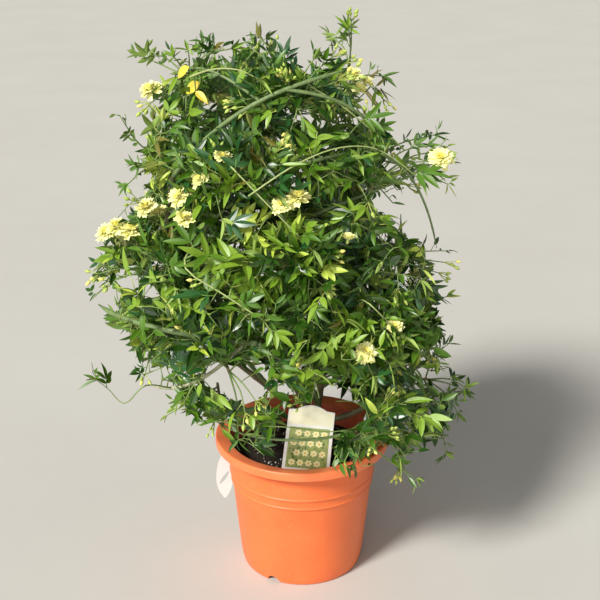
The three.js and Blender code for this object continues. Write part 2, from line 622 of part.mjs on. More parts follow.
function growMass(mass) {
  const random = generator(mass.seed);
  const start = startOf(mass).point;
  const outward = outwardAt(mass.centre);
  const end = mass.centre.clone().addScaledVector(outward, growth.stemPast);
  end.z += growth.stemLift;
  const stem = [start, start.clone().lerp(end, 0.5).addScaledVector(UP, growth.stemBow), end];
  const curve = new THREE.CatmullRomCurve3(stem);
  const axis = end.clone().sub(start).normalize();
  const taken = [];
  const flowers = blossoms.map((at) => flowerTwig(mass, curve, new THREE.Vector3(...at), taken));
  const twigs = leaders.map((at) => leadingTwig(mass, curve, new THREE.Vector3(...at), random, taken));
  const count = () => twigs.reduce((sum, twig) => sum + (twig ? twig.leaves.length : 0), 0);
  for (let i = 0; i < growth.attempts && count() < growth.leaves; i += 1) {
    const fraction = THREE.MathUtils.lerp(growth.lowest, growth.highest, (i * growth.spacing) % 1);
    const sideways = new THREE.Vector3(1, 0, 0).applyAxisAngle(UP, growth.turn * i + random());
    sideways.addScaledVector(axis, -sideways.dot(axis)).normalize();
    const direction = sideways.addScaledVector(outward, growth.outward * random())
      .addScaledVector(UP, growth.upward + growth.upwardSpread * (random() - 0.5)).normalize();
    const [least, most] = growth.twigLength;
    const length = THREE.MathUtils.lerp(least, most, random());
    twigs.push(growTwig(mass, curve.getPointAt(fraction), direction, length, random, growth.fewest, taken));
  }
  const solids = [twigSolid(stem, growth.stemRadius, growth.stemTip, 2)];
  for (const twig of twigs.filter((each) => each)) {
    solids.push(twigSolid([twig.from, twig.tip], growth.twigRadius, growth.twigTip, 1));
    for (const leaf of twig.leaves) solids.push(leafSolid(leaf.root, leaf.direction, leaf.side, leaf.sunk));
  }
  for (const flower of flowers.filter((each) => each)) {
    solids.push(twigSolid([flower.from, flower.at], growth.twigRadius, growth.twigTip, 1));
    solids.push(flowerSolid(flower.at, flower.facing));
  }
  let body = wasm.Manifold.union(solids);
  for (const name of limbs.keys()) body = body.subtract(limbSolid(name, CLEARANCE));
  return largestPiece(body).simplify(room.tidy);
}

// The whole plant

const group = new THREE.Group();

function add(name, solid, finish) {
  const mesh = new THREE.Mesh(toGeometry(solid), new THREE.MeshStandardMaterial(finishes[finish]));
  mesh.name = name;
  group.add(mesh);
}

add('pot', makePot(), 'terracotta');
add('soil', toSolid(turned(soilOutline(), pot.facets)).subtract(makeCard(CLEARANCE)), 'peat');
add('label_card', makeCard(), 'card');
add('hang_tag', makeTag(), 'card');

addTrunk();
canes.forEach(addCane);
sampleLimbs();
add('trunk', limbSolid('trunk'), 'bark');
canes.forEach((cane, index) => {
  const earlier = canes.slice(0, index).filter((other) => other.parent === cane.parent);
  const neighbours = [cane.parent, ...earlier.map((other) => other.name)];
  let solid = limbSolid(cane.name);
  for (const name of neighbours) solid = solid.subtract(limbSolid(name, CLEARANCE));
  add(cane.name, largestPiece(solid), 'cane');
});

addMasses();
for (const mass of masses) add(mass.name, growMass(mass), 'foliage');

export default group;
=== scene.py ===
"""A climbing rose with pale yellow double blossoms, wound round itself in a plastic nursery pot.

Sizes and places below are in millimetres, +Z up, with -Y the front and the origin under the pot's middle.
Meshes are turned into metres when they are made. The plant grows by the same rule as its solids: canes set
out from the trunk and from each other, each mass of foliage has a stem from the nearest cane, and twigs
branch from the stem inside the mass's own space. Here the twigs go on to side shoots, leaf stalks,
leaflets, buds and petals.
"""
import math
import random

import bmesh
import bpy
import numpy as np
from mathutils import Matrix, Vector, kdtree


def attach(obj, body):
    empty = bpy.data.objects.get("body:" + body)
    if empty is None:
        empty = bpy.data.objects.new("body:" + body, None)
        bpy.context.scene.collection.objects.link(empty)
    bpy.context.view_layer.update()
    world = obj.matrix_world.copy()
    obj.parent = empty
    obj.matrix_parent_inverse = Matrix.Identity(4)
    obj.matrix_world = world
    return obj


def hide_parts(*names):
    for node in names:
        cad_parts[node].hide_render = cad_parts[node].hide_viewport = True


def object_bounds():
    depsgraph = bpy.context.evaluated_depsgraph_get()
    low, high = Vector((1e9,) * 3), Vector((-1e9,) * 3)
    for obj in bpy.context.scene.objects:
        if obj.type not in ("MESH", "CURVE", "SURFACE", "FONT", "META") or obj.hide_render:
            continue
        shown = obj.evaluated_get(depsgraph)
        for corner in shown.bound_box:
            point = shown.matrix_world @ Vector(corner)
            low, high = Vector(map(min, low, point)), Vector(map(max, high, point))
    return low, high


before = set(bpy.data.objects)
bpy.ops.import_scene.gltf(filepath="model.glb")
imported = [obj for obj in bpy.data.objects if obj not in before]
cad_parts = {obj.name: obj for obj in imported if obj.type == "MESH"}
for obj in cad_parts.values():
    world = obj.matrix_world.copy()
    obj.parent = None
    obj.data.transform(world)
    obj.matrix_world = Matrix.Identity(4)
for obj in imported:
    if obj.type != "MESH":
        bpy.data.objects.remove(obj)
cad_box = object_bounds()

MM = 0.001
TAU = 2 * math.pi
UP = np.array([0.0, 0.0, 1.0])
SEED = 20

# Pot, soil, label and tag

POT = dict(
    height=148, wall=1.6, turns=144, foot=62.5, disc=26, lift=6, floor=2.2,
    low_height=14, low=66, high=74, bead_low=97.5, bead_high=108, bead=0.9, roll=1.35,
    collar=77, rim=91, band=9, band_wall=1.7, ridge_pitch=2.6, ridge=0.32,
    notch=7, notch_turn=-28, notches=3, drain=4.5, drain_ring=42, drains=6, edge=0.9, crisp_from=32,
)
SOIL = dict(height=126, edge_drop=2.5, shoulder=56, lumps=1.3, gap=0.7, rings=44, turns=120,
            crumbs=2600, perlite=130, crumb=(0.8, 2.4), shrink=(0.6, 1), grain=(0.7, 1.8))
CARD = dict(width=49, top_width=46, height=88, arch=6, thick=0.9, sunk=10, x=1.5, y=-60, lean=6, tilt=6)
TAG = dict(x=-85, y=25, top=143.6, tip=52, shoulder=76, width=18, neck=5, neck_length=38, thick=0.8,
           slit_length=19, slit_width=4, slit_height=78, slit_tilt=34)

# Room for the card: the space in front that the crown leaves free, and the part of the view
# in which nothing that is nearer than the front plane may stand
CARD_CLEAR = dict(x=5.5, half=20, front=-30, low=120, high=196)
CARD_SEEN = dict(x=4.5, half=27, front=-48, low=126, high=208)

# The crown's outline: height, reach to the left of the pot's middle, reach to the right

OUTLINE = np.array([
    [84, -95, 120], [110, -100, 172], [150, -104, 176], [184, -150, 179], [207, -166, 179],
    [250, -203, 162], [296, -219, 150], [349, -209, 141], [400, -180, 136], [450, -176, 146],
    [497, -152, 92], [545, -146, 72], [566, -100, 52], [584, -60, 60],
], float)
# The same outline as the camera sees it on the plane of the plant's middle: height, left end, right end
SEEN = np.array([
    [74, 100, 110], [96, 96, 112], [104, 86, 112], [110, 20, 113], [116, -62, 116], [121, -81, 130],
    [126, -86, 150], [149, -97, 162], [158, -122, 165], [170, -130, 167], [182, -138, 168],
    [200, -150, 164], [216, -154, 160], [230, -168, 155], [240, -178, 152], [249, -188, 150],
    [268, -196, 148], [287, -203, 145], [305, -215, 143], [328, -215, 139], [345, -206, 126],
    [359, -202, 118], [372, -196, 115], [384, -188, 112], [392, -164, 108], [408, -158, 108],
    [415, -156, 128], [435, -156, 134], [459, -156, 94], [473, -148, 82], [480, -148, 74],
    [500, -146, 58], [526, -146, 48], [572, -150, 46],
], float)
# Its top edge: left or right, height; single shoots stand out above it
SKYLINE = np.array([
    [-166, 500], [-144, 515], [-110, 532], [-69, 536], [-41, 546], [-22, 541], [-4, 524], [19, 532],
    [42, 533], [54, 519], [62, 496], [72, 481], [82, 467], [92, 452], [106, 440], [112, 428], [124, 424],
    [150, 424],
], float)
DEPTH_SHARE = 0.85
BOX_ROOM, MOST_SPREAD = 7, 1.3
AXIS_LOW, AXIS_HIGH, LEAN_FROM, LEAN_TO = 10, -25, 150, 300
UNDERSIDE = dict(left=222, middle=163, right=88, span=125, room=30)

# Canes: name, parent, where on it, setting-out turn, end turn, end height, reach, bow, quickness, radii

TRUNK = dict(foot=(11, 6), buried=3, top=(17, 0, 170), bend=(-1.5, 1, 0), radius=6.6,
             flare=11.5, flare_height=6.5, head=7.6)
CANES = [
    ("left_cane", "trunk", 0.62, -100, -52, 438, 118, 10, 2.6, 3.5, 2.6),
    ("upper_hoop", "left_cane", 1, -52, 33, 538, 113, 22, 1, 2.5, 1.9),
    ("upper_hoop_fall", "upper_hoop", 0.72, 8, 62, 455, 122, 16, 1, 1.8, 1.3),
    ("top_loop", "upper_hoop", 0.6, 0, -62, 528, 96, 16, 1, 1.6, 1.2),
    ("twin_cane", "left_cane", 0.16, -70, -25, 470, 114, 6, 1.6, 2.7, 1.9),
    ("diagonal_fall", "twin_cane", 1, -25, 15, 384, 131, 7, 1, 1.8, 1.2),
    ("front_arch", "twin_cane", 0.74, -36, 47, 466, 118, 22, 1, 1.9, 1.6),
    ("front_arch_fall", "front_arch", 1, 47, 88, 352, 158, 22, 1, 1.5, 1.0),
    ("front_riser", "trunk", 0.82, 24, -9, 287, 110, 22, 1.7, 3.6, 3.2),
    ("low_left_arm", "front_riser", 1, -9, -81, 300, 178, 5, 1, 3.1, 2.6),
    ("low_left_hoop", "low_left_arm", 0.06, -12, -77, 216, 152, -12, 1, 2.1, 1.6),
    ("centre_cane", "trunk", 0.97, 60, 22, 404, 88, 8, 1.2, 3.1, 2.2),
    ("right_reach", "centre_cane", 1, 22, 87, 440, 152, 6, 1, 2.0, 1.2),
    ("right_fall", "centre_cane", 0.6, 26, 74, 258, 134, 26, 1.2, 2.0, 1.3),
    ("right_low_cane", "trunk", 0.72, 74, 84, 205, 96, -6, 1, 3.6, 3.0),
    ("right_cane", "right_low_cane", 1, 84, 104, 378, 128, 0, 1.8, 2.8, 1.8),
    ("pot_front_cane", "right_low_cane", 0.8, 80, -50, 186, 112, -4, 1.6, 2.2, 1.2),
    ("back_left_cane", "trunk", 0.76, -150, -128, 430, 120, 6, 2.2, 3.4, 2.3),
    ("back_left_arch", "back_left_cane", 1, -128, -206, 500, 108, 26, 1, 2.2, 1.4),
    ("back_right_cane", "trunk", 0.9, 150, 140, 400, 122, 6, 2.0, 3.2, 2.2),
    ("back_right_arch", "back_right_cane", 1, 140, 92, 492, 96, 18, 1, 2.1, 1.3),
    ("back_low_left_arm", "back_left_cane", 0.2, -132, -104, 262, 168, 10, 1.3, 2.6, 1.9),
    ("back_low_hoop", "back_right_cane", 0.2, 146, 212, 236, 142, 12, 1.5, 2.5, 1.7),
    ("back_low_right_arm", "back_right_cane", 0.12, 128, 112, 196, 148, 16, 1.4, 2.3, 1.6),
]
PALE_CANES = ("low_left_hoop",)
CANE = dict(step=3.2, slim=0.88, node_every=26, swelling=0.16, tip=0.3, tip_length=22)

# Masses of foliage: name, height, how many, first turn, share of the crown's half width

RINGS = [
    ("skirt", 188, 5, 20, 0.66), ("lower", 262, 6, -20, 0.62), ("middle", 345, 5, 8, 0.62),
    ("upper", 428, 5, -22, 0.62), ("top", 500, 4, 20, 0.52),
]
MASS = dict(wobble=14, wobble_turn=2.4, first_seed=101, seed_step=37)

# Open blossoms: place, and how far each is open

BLOSSOMS = [
    (-186, -34, 376, 0.9), (-174, -46, 385, 1.0), (-160, -52, 384, 1.0), (-168, -36, 372, 0.8),
    (-141, -72, 412, 0.9), (-132, -64, 404, 0.5), (-138, -30, 511, 0.9), (-107, -101, 430, 1.0),
    (-104, -104, 410, 0.6), (-88, -111, 449, 0.5), (-3, -126, 436, 1.0), (-17, -126, 430, 0.8),
    (46, -56, 528, 0.35), (56, -50, 521, 0.4), (50, -54, 515, 0.2), (127, -48, 452, 1.0),
    (57, -124, 291, 1.0), (85, -102, 307, 0.4), (-69, -108, 467, 0.4), (40, -115, 395, 0.1),
    (-30, 122, 440, 1.0), (60, 104, 380, 0.9), (-120, 84, 330, 1.0), (-112, 92, 322, 0.8),
    (40, 84, 500, 0.9), (120, 60, 300, 0.8), (-60, 108, 262, 0.7), (-96, 88, 480, 0.6),
]

# Clusters of buds, and shoots that lead to the crown's furthest points

BUDS = [
    (44, -26, 573), (38, -56, 540), (40, -60, 530), (74, -33, 504), (60, -64, 493), (-55, -88, 512),
    (-45, -92, 508), (-10, -98, 489), (-21, -108, 474), (-198, -30, 334), (-178, -62, 338),
    (135, -9, 328), (18, -127, 358), (-42, -138, 250), (-52, -134, 236), (63, -122, 196),
    (-141, -21, 498), (23, -120, 383), (88, -92, 340), (-86, -120, 360), (140, -12, 340), (-30, 116, 500),
    (90, 96, 420), (-150, 70, 380), (20, 128, 320), (-90, 110, 400),
]
LEADERS = [
    (42, -26, 566), (88, -12, 400), (102, -12, 356), (94, -6, 370), (-88, -42, 556), (-76, -54, 554),
    (-62, -50, 552), (-48, -58, 556), (-37, -61, 563), (-101, -48, 550), (-114, -46, 544),
    (-150, -12, 541), (-140, -14, 545), (-20, -66, 548), (10, -66, 545), (26, -60, 546), (66, -40, 512),
    (-172, -6, 484), (-156, -15, 436), (-198, -8, 335), (-210, -18, 302), (-150, -80, 250),
    (-120, -84, 222), (-134, -60, 196), (128, 10, 462), (136, -16, 452), (118, -20, 458), (140, -10, 440),
    (138, -6, 350), (146, 0, 300), (150, -4, 250), (166, -18, 208), (170, 6, 192), (160, -20, 180),
    (146, -50, 150), (112, -90, 142), (-60, -118, 200), (29, -112, 170), (50, -108, 168), (40, -116, 176),
    (-40, 96, 540), (30, 76, 545), (-100, 70, 535), (80, 60, 510), (-150, 90, 300), (130, 90, 300),
    (-90, 110, 230), (90, 110, 180), (-180, 50, 400), (150, 60, 400), (0, 128, 470),
]

# Leaves that stand out: the place of the stalk's foot, tint and size

SET_LEAVES = [
    (-46, -130, 380, "fresh", 1.25), (-40, -134, 368, "fresh", 1.15), (-72, -120, 372, "fresh", 1.25),
    (-88, -116, 384, "mid", 1.1), (-62, -128, 356, "fresh", 1.2), (-28, -136, 286, "mid", 1.15),
    (4, -134, 282, "fresh", 1.1), (-98, -74, 540, "old", 1.0), (-88, -84, 528, "old", 1.1),
    (-92, -86, 521, "old", 0.8), (88, -98, 302, "old", 0.6), (126, -66, 234, "old", 0.6),
    (30, 118, 400, "fresh", 1.2), (-80, 110, 340, "fresh", 1.2), (60, 110, 300, "old", 0.9),
]

# Long bare shoots in front of the leaves, each out of the nearest cane: pale or not, thickness, places

SHOOTS = [
    (True, 2.2, [(-104, -118, 372), (-68, -132, 350), (-34, -141, 330)]),
    (True, 1.8, [(-45, -130, 440), (-4, -124, 466), (31, -108, 476), (62, -95, 473), (84, -91, 460),
                 (104, -82, 442)]),
    (True, 1.8, [(-68, -114, 469), (-36, -131, 439), (-12, -133, 414), (9, -131, 391)]),
    (True, 2.0, [(58, -117, 338), (76, -110, 318), (92, -100, 300)]),
    (False, 1.6, [(-150, -84, 240), (-172, -80, 219), (-186, -79, 234), (-196, -84, 246)]),
    (True, 1.8, [(5, -86, 527), (34, -84, 508), (62, -76, 484)]),
    (True, 2.2, [(-96, -92, 534), (-77, -90, 540), (-55, -92, 540), (-36, -94, 532)]),
    (False, 1.8, [(-84, -88, 206), (-63, -95, 204), (-13, -100, 204), (25, -100, 199), (56, -92, 199)]),
    (False, 1.6, [(-138, -66, 462), (-126, -71, 478), (-124, -70, 492)]),
]

# Places that the eye looks through, on the middle plane: left or right, height, radius, share of leaves kept

OPENINGS = [
    (-174, 317, 12, 0), (-152, 304, 9, 0), (-146, 332, 8, 0.1), (-198, 296, 14, 0.15),
    (-196, 352, 9, 0.3), (-86, 211, 15, 0), (-72, 206, 19, 0), (-52, 206, 15, 0), (-22, 184, 15, 0.2),
    (-56, 186, 11, 0.15), (12, 163, 12, 0.1), (30, 166, 15, 0), (52, 163, 17, 0), (24, 190, 13, 0.05),
    (44, 188, 10, 0.1), (90, 118, 14, 0), (76, 112, 12, 0.3), (127, 170, 9, 0.2), (107, 150, 9, 0.2),
    (136, 130, 14, 0.3), (130, 207, 15, 0.2), (152, 207, 13, 0.2), (146, 238, 14, 0.3),
    (140, 190, 12, 0.3), (114, 388, 26, 0.03), (84, 400, 16, 0.05), (78, 366, 10, 0.2),
    (130, 348, 10, 0.1), (98, 384, 10, 0.1), (112, 332, 8, 0.3), (96, 318, 12, 0.3), (77, 285, 10, 0.3),
    (90, 440, 14, 0.1), (108, 424, 14, 0.1), (60, 480, 14, 0.4), (6, 478, 11, 0.2), (14, 526, 14, 0.4),
    (-128, 522, 10, 0.2), (-154, 490, 9, 0.1), (0, 546, 7, 0.2), (-132, 478, 9, 0.4), (-147, 517, 8, 0.2),
    (-150, 400, 10, 0.3), (-93, 359, 10, 0.3), (78, 304, 12, 0.4), (-150, 240, 10, 0.5),
    (66, 236, 6, 0.2), (-12, 486, 4, 0),
]
VEIL = dict(cell=6, canes={
    "low_left_arm": 0.1, "low_left_hoop": 0.05, "upper_hoop": 0.8, "front_arch": 0.5, "diagonal_fall": 0.4,
    "twin_cane": 0.5, "front_arch_fall": 0.4, "right_reach": 0.4, "pot_front_cane": 0.2, "top_loop": 0.5,
}, shoots=0.3, blossoms=0.1, blossom_room=8, edge=8, edge_share=0.6, ragged=6, overshoot=9, clear=0.3)

# Growth: thickness is by radius, turns are in radians, and the rest are lengths, counts and shares

GROWTH = dict(
    stem=2.5, stem_tip=1.7, stem_bow=4, stem_past=14, stem_lift=8, stem_from=30,
    twigs=15, lowest=0.3, highest=0.98, spacing=0.618, turn=2.4, outward=1.2, upward=0.3, upward_spread=1.4,
    twig=1.0, twig_tip=0.5, length=(30, 74), step=7, wander=0.16, rise=0.05, twig_room=7, most_open=0.3,
    shoots=3, shoot_length=(16, 34), shoot=0.6, shoot_tip=0.4,
    spur_every=17, spur_length=(14, 34), spur=0.75, spur_tip=0.5, spur_from=0.3, spur_low=60, spur_skip=0.2,
    goal_from=(0.75, 0.98), goal_tip=0.5, leader_size=0.6, shoot_leaf_size=0.85, nearest=14, bow=0.06,
    leaf_every=9, leaf_turn=2.4, leaf_gap=5.0, limb_gap=1.4, bud_tips=0.03, star_tips=0.6,
    stalk=(9, 16), stalk_lean=(0.7, 1.15), stalk_radii=(0.5, 0.4, 0.34),
    fill_rounds=3, fill_tries=9000, fill_gap=12.5, fill_reach=(10, 62), fill_from=0.4, fill_thick=1.2,
)
# Twigs to the set places, by what they end in: bow, thickness at the foot, share that stays bare
GOAL_TWIGS = {"blossom": (0.06, 0.9, 0.3), "buds": (0.08, 1.0, 0.25), "leader": (0.08, 1.0, 0.55)}
FILL_BOX = (-220, -152, 84), (182, 152, 584)
LEAFLET = dict(length=(18, 29), width=(5.8, 8.4), fold=(0.1, 0.5), curl=(0.02, 0.3), sweep=0.06, roll=0.25,
               droop=0.16, five=0.7, swing=(0.8, 1.15), swing_spread=0.08, own=(0.9, 1.08))
OLD_LEAF = dict(length=20, width=0.45, fold_curl_sweep=(0.3, 0.2, 0.05))
# A leaf's leaflets: how far along its stalk, swing to the side in radians, share of the full length
LEAF_PLAN = [(1.0, 0.0, 1.0), (0.95, 0.8, 0.86), (0.95, -0.8, 0.86), (0.5, 1.0, 0.68), (0.5, -1.0, 0.68)]
ROSETTE = dict(leaflets=(5, 8), lean=(0.35, 1.15), length=(13, 25), width=(3.6, 5.8), fold=(0.3, 0.8),
               curl=(-0.1, 0.25), step=0.3, lift=0.4)
BUD = dict(stalk=(9, 14), rise=(-1, 2), size=(1.7, 2.6), stalk_radii=(0.5, 0.42, 0.45), yellow=0.3, sides=6,
           rings=[(-1.0, 0.26), (-0.6, 0.62), (0.0, 0.78), (0.7, 0.58), (1.35, 0.2)], ends=(-1.15, 1.75))
BLOSSOM = dict(radius=(6.5, 10.8), shut_lean=1.25, turn_spread=0.12, lean_spread=0.17, length=(0.8, 1.12),
               width=(0.46, 0.62), fold=(0.2, 0.6), curl=(0.0, 0.35), cup=2.0)
# Whorls of petals: how many, share of the radius, lean when fully open, 1 for the deeper yellow
WHORLS = [(13, 1.0, 0.05, 0), (13, 0.94, 0.38, 0), (12, 0.86, 0.68, 0), (11, 0.78, 0.95, 0), (9, 0.7, 1.2, 1),
          (6, 0.6, 1.4, 1)]

# Tints: a leaf's face, its other green, its back, and its roughness

LEAF_FINISHES = {
    "dark": ((34, 68, 10), (48, 86, 18), (88, 122, 50), 0.34),
    "blue": ((34, 78, 36), (48, 94, 40), (92, 128, 70), 0.3),
    "mid": ((66, 106, 16), (86, 122, 28), (116, 142, 60), 0.4),
    "fresh": ((108, 144, 32), (130, 160, 48), (144, 170, 78), 0.44),
    "lime": ((168, 190, 62), (186, 200, 84), (186, 200, 100), 0.5),
    "bronze": ((104, 108, 30), (118, 96, 36), (126, 130, 58), 0.5),
    "old": ((218, 208, 74), (226, 186, 70), (222, 210, 112), 0.5),
}
# Fans of young leaves: how often they are lime, or else fresh, and how often they match their spray
YOUNG = dict(lime=0.12, fresh=0.93, like_spray=0.5)
# How much a spray's roll grows outwards, the spread at which it stays as it is, and its most
TINT_OUTWARD = dict(push=0.18, level=0.75, most=0.99)
# Up to which roll of 0 to 1 a spray has each tint, and places on the view with a tint of their own
TINT_SHARES = (0.36, "dark"), (0.56, "blue"), (0.86, "mid"), (0.975, "fresh"), (0.985, "lime")
TINT_PLACES = [
    (-20, 366, 24, "fresh"), (-58, 352, 22, "lime"), (-40, 330, 14, "fresh"), (44, 388, 6, "lime"),
    (18, 322, 8, "lime"), (-142, 418, 14, "lime"), (-112, 556, 14, "bronze"), (70, 500, 12, "bronze"),
    (40, 240, 26, "fresh"), (30, 215, 22, "mid"),
]


class Heap:
    """Many small shapes that become one mesh: points, and faces of three and of four corners."""

    def __init__(self):
        self.points, self.faces, self.marks, self.count = [], {3: [], 4: []}, {3: [], 4: []}, 0

    def add(self, points, threes=None, fours=None, mark=0):
        """Adds a shape; mark is its material, one for all its faces or one for each."""
        for corners, found in ((3, threes), (4, fours)):
            if found is not None and len(found):
                self.faces[corners].append(np.asarray(found, np.int64) + self.count)
                self.marks[corners].append(np.full(len(found), mark))
        self.points.append(np.asarray(points, float))
        self.count += len(points)

    def build(self, name, materials, smooth=True):
        mesh = bpy.data.meshes.new(name)
        points = np.concatenate(self.points) * MM
        shelves = [np.concatenate(self.faces[k]) for k in (3, 4) if self.faces[k]]
        marks = np.concatenate([np.concatenate(self.marks[k]) for k in (3, 4) if self.marks[k]])
        totals = np.concatenate([np.full(len(shelf), shelf.shape[1]) for shelf in shelves])
        corners = np.concatenate([shelf.ravel() for shelf in shelves])
        mesh.vertices.add(len(points))
        mesh.vertices.foreach_set("co", points.ravel())
        mesh.loops.add(len(corners))
        mesh.loops.foreach_set("vertex_index", corners)
        mesh.polygons.add(len(totals))
        mesh.polygons.foreach_set("loop_start", np.concatenate([[0], np.cumsum(totals)[:-1]]))
        mesh.polygons.foreach_set("loop_total", totals)
        mesh.polygons.foreach_set("material_index", marks)
        mesh.polygons.foreach_set("use_smooth", np.full(len(totals), smooth))
        mesh.update(calc_edges=True)
        mesh.validate()
        for material in materials:
            mesh.materials.append(material)
        return new_object(name, mesh)


def new_object(name, data):
    made = bpy.data.objects.new(name, data)
    bpy.context.scene.collection.objects.link(made)
    return made


# Shapes

def unit(v):
    return v / max(np.linalg.norm(v), 1e-9)


def lerp(a, b, t):
    return a + (b - a) * t


def smoothstep(x, low, high):
    t = np.clip((x - low) / (high - low), 0, 1)
    return t * t * (3 - 2 * t)


def rotated(v, axis, angle):
    """v turned round a unit axis."""
    return (v * math.cos(angle) + np.cross(axis, v) * math.sin(angle)
            + axis * np.dot(axis, v) * (1 - math.cos(angle)))


def square_to(v, direction):
    """The part of v that is square to a unit direction, at length 1."""
    return unit(v - direction * np.dot(v, direction))


def sideways(direction):
    """A level direction, square to the given one."""
    return unit(np.cross(direction, UP) + 1e-3)


def spoke(direction, turn):
    """A direction square to the given one, turned about it."""
    return rotated(sideways(direction), direction, turn)


def leaning(direction, side, lean):
    """The direction leant towards its side."""
    return unit(direction * math.cos(lean) + side * math.sin(lean))


def turned(x, z, angle):
    """A flat place turned about its origin."""
    return x * math.cos(angle) - z * math.sin(angle), x * math.sin(angle) + z * math.cos(angle)


def jitter(rnd, amount):
    return np.array([rnd.gauss(0, amount) for _ in range(3)])


def curve_through(points, per_span=24):
    """A centripetal Catmull-Rom curve through the points, as many close points."""
    points = [np.asarray(p, float) for p in points]
    ends = [2 * points[0] - points[1], *points, 2 * points[-1] - points[-2]]
    t = np.linspace(0, 1, per_span, endpoint=False)[:, None]
    pieces = []
    for a, b, c, d in zip(ends, ends[1:], ends[2:], ends[3:]):
        before, span, after = (max(np.linalg.norm(q - p), 1e-4) ** 0.5 for p, q in ((a, b), (b, c), (c, d)))
        first = ((b - a) / before - (c - a) / (before + span) + (c - b) / span) * span
        second = ((c - b) / span - (d - b) / (span + after) + (d - c) / after) * span
        pieces.append(b + first * t + (3 * (c - b) - 2 * first - second) * t ** 2
                      + (2 * (b - c) + first + second) * t ** 3)
    return np.vstack([*pieces, points[-1:]])


def spaced(path, count):
    """The path at even steps of length, with count steps."""
    along = np.concatenate([[0], np.cumsum(np.linalg.norm(np.diff(path, axis=0), axis=1))])
    want = np.linspace(0, along[-1], count + 1)
    return np.stack([np.interp(want, along, path[:, k]) for k in range(3)], axis=1)


def quads(rows, turns):
    """The faces between rows of points, where each row closes on itself."""
    ring = np.arange(turns)
    after = (ring + 1) % turns
    return np.vstack([np.stack([i * turns + ring, i * turns + after, (i + 1) * turns + after,
                                (i + 1) * turns + ring], 1) for i in range(rows - 1)])


def caps(rows, turns):
    """Triangles from the first and the last row to two tips, which are the last two points."""
    ring = np.arange(turns)
    after = (ring + 1) % turns
    last, tip = (rows - 1) * turns, rows * turns
    return np.vstack([np.stack([after, ring, np.full(turns, tip)], 1),
                      np.stack([last + ring, last + after, np.full(turns, tip + 1)], 1)])


def tube(path, radii, sides):
    """Points, triangles and quads of a closed tube along a path."""
    path = np.asarray(path, float)
    tangents = np.gradient(path, axis=0)
    tangents /= np.maximum(np.linalg.norm(tangents, axis=1, keepdims=True), 1e-9)
    normal = unit(np.cross(tangents[0], UP if abs(tangents[0][2]) < 0.9 else np.array([1.0, 0, 0])))
    angles = np.arange(sides) * TAU / sides
    rings = []
    for point, tangent, radius in zip(path, tangents, np.broadcast_to(radii, len(path))):
        normal = square_to(normal, tangent)
        across = np.cross(tangent, normal)
        rings.append(point + radius * (np.cos(angles)[:, None] * normal + np.sin(angles)[:, None] * across))
    return np.vstack([*rings, path[:1], path[-1:]]), caps(len(path), sides), quads(len(path), sides)


def rounded(profile, radius, steps=3):
    """The profile with each inner corner turned into a small curve."""
    profile = [np.asarray(p, float) for p in profile]
    out = [profile[0]]
    for before, corner, after in zip(profile, profile[1:], profile[2:]):
        reach = min(radius, 0.42 * np.linalg.norm(before - corner), 0.42 * np.linalg.norm(after - corner))
        start, end = corner + unit(before - corner) * reach, corner + unit(after - corner) * reach
        for t in np.linspace(0, 1, steps + 1):
            out.append((1 - t) ** 2 * start + 2 * t * (1 - t) * corner + t * t * end)
    return np.array([*out, profile[-1]])


def circle(radius, height, turns):
    """A row of points round +Z from the front on; the height may change along it."""
    angles = np.arange(turns) * TAU / turns
    return np.stack([radius * np.sin(angles), -radius * np.cos(angles), np.broadcast_to(height, turns)], 1)


def lathe(profile, turns):
    """Points and faces of a profile of radius and height, turned about +Z; radius 0 closes it."""
    return np.concatenate([circle(r, z, turns) for r, z in profile]), quads(len(profile), turns)


def weld(piece, distance=1e-6):
    """Merges points that lie together, so that a lathe's ends on the axis are closed."""
    work = bmesh.new()
    work.from_mesh(piece.data)
    bmesh.ops.remove_doubles(work, verts=work.verts, dist=distance)
    bmesh.ops.dissolve_degenerate(work, edges=work.edges, dist=distance)
    work.to_mesh(piece.data)
    work.free()


def evaluated_mesh(piece):
    """The piece's mesh as its modifiers, or its curve, make it."""
    graph = bpy.context.evaluated_depsgraph_get()
    return bpy.data.meshes.new_from_object(piece.evaluated_get(graph))


def closed_piece(name, materials, points, threes=None, fours=None, smooth=True):
    """One welded shape as an object."""
    heap = Heap()
    heap.add(points, threes, fours)
    piece = heap.build(name, materials, smooth)
    weld(piece)
    return piece


def keep(piece, slot, *nodes):
    """The piece rides on the plant's one body and stands for the nodes; slot is not used."""
    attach(piece, "root")
    if nodes:
        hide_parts(*nodes)
    return piece


# Shader effects that several materials share, and finishes

def srgb(red, green, blue):
    """A colour of 0 to 255 a channel, as linear light with alpha."""
    linear = [c / 255 / 12.92 if c <= 10 else ((c / 255 + 0.055) / 1.055) ** 2.4 for c in (red, green, blue)]
    return (*linear, 1.0)


WHITE, BLACK = (1.0, 1.0, 1.0, 1.0), (0.0, 0.0, 0.0, 1.0)


def effect(name, inputs, outputs):
    """An empty node group: each input has its value, and a tuple stands for a colour."""
    group = bpy.data.node_groups.new(name, "ShaderNodeTree")
    kinds = {tuple: "NodeSocketColor", float: "NodeSocketFloat"}
    for title, value in inputs.items():
        socket = group.interface.new_socket(title, in_out="INPUT", socket_type=kinds[type(value)])
        socket.default_value = value
    for title, kind in outputs.items():
        group.interface.new_socket(title, in_out="OUTPUT", socket_type=kinds[kind])
    return group, group.nodes.new("NodeGroupInput").outputs, group.nodes.new("NodeGroupOutput")


def wire(target, sources):
    """Links each named input of a shader node to the given socket."""
    for key, socket in sources.items():
        target.id_data.links.new(socket, target.inputs[key])


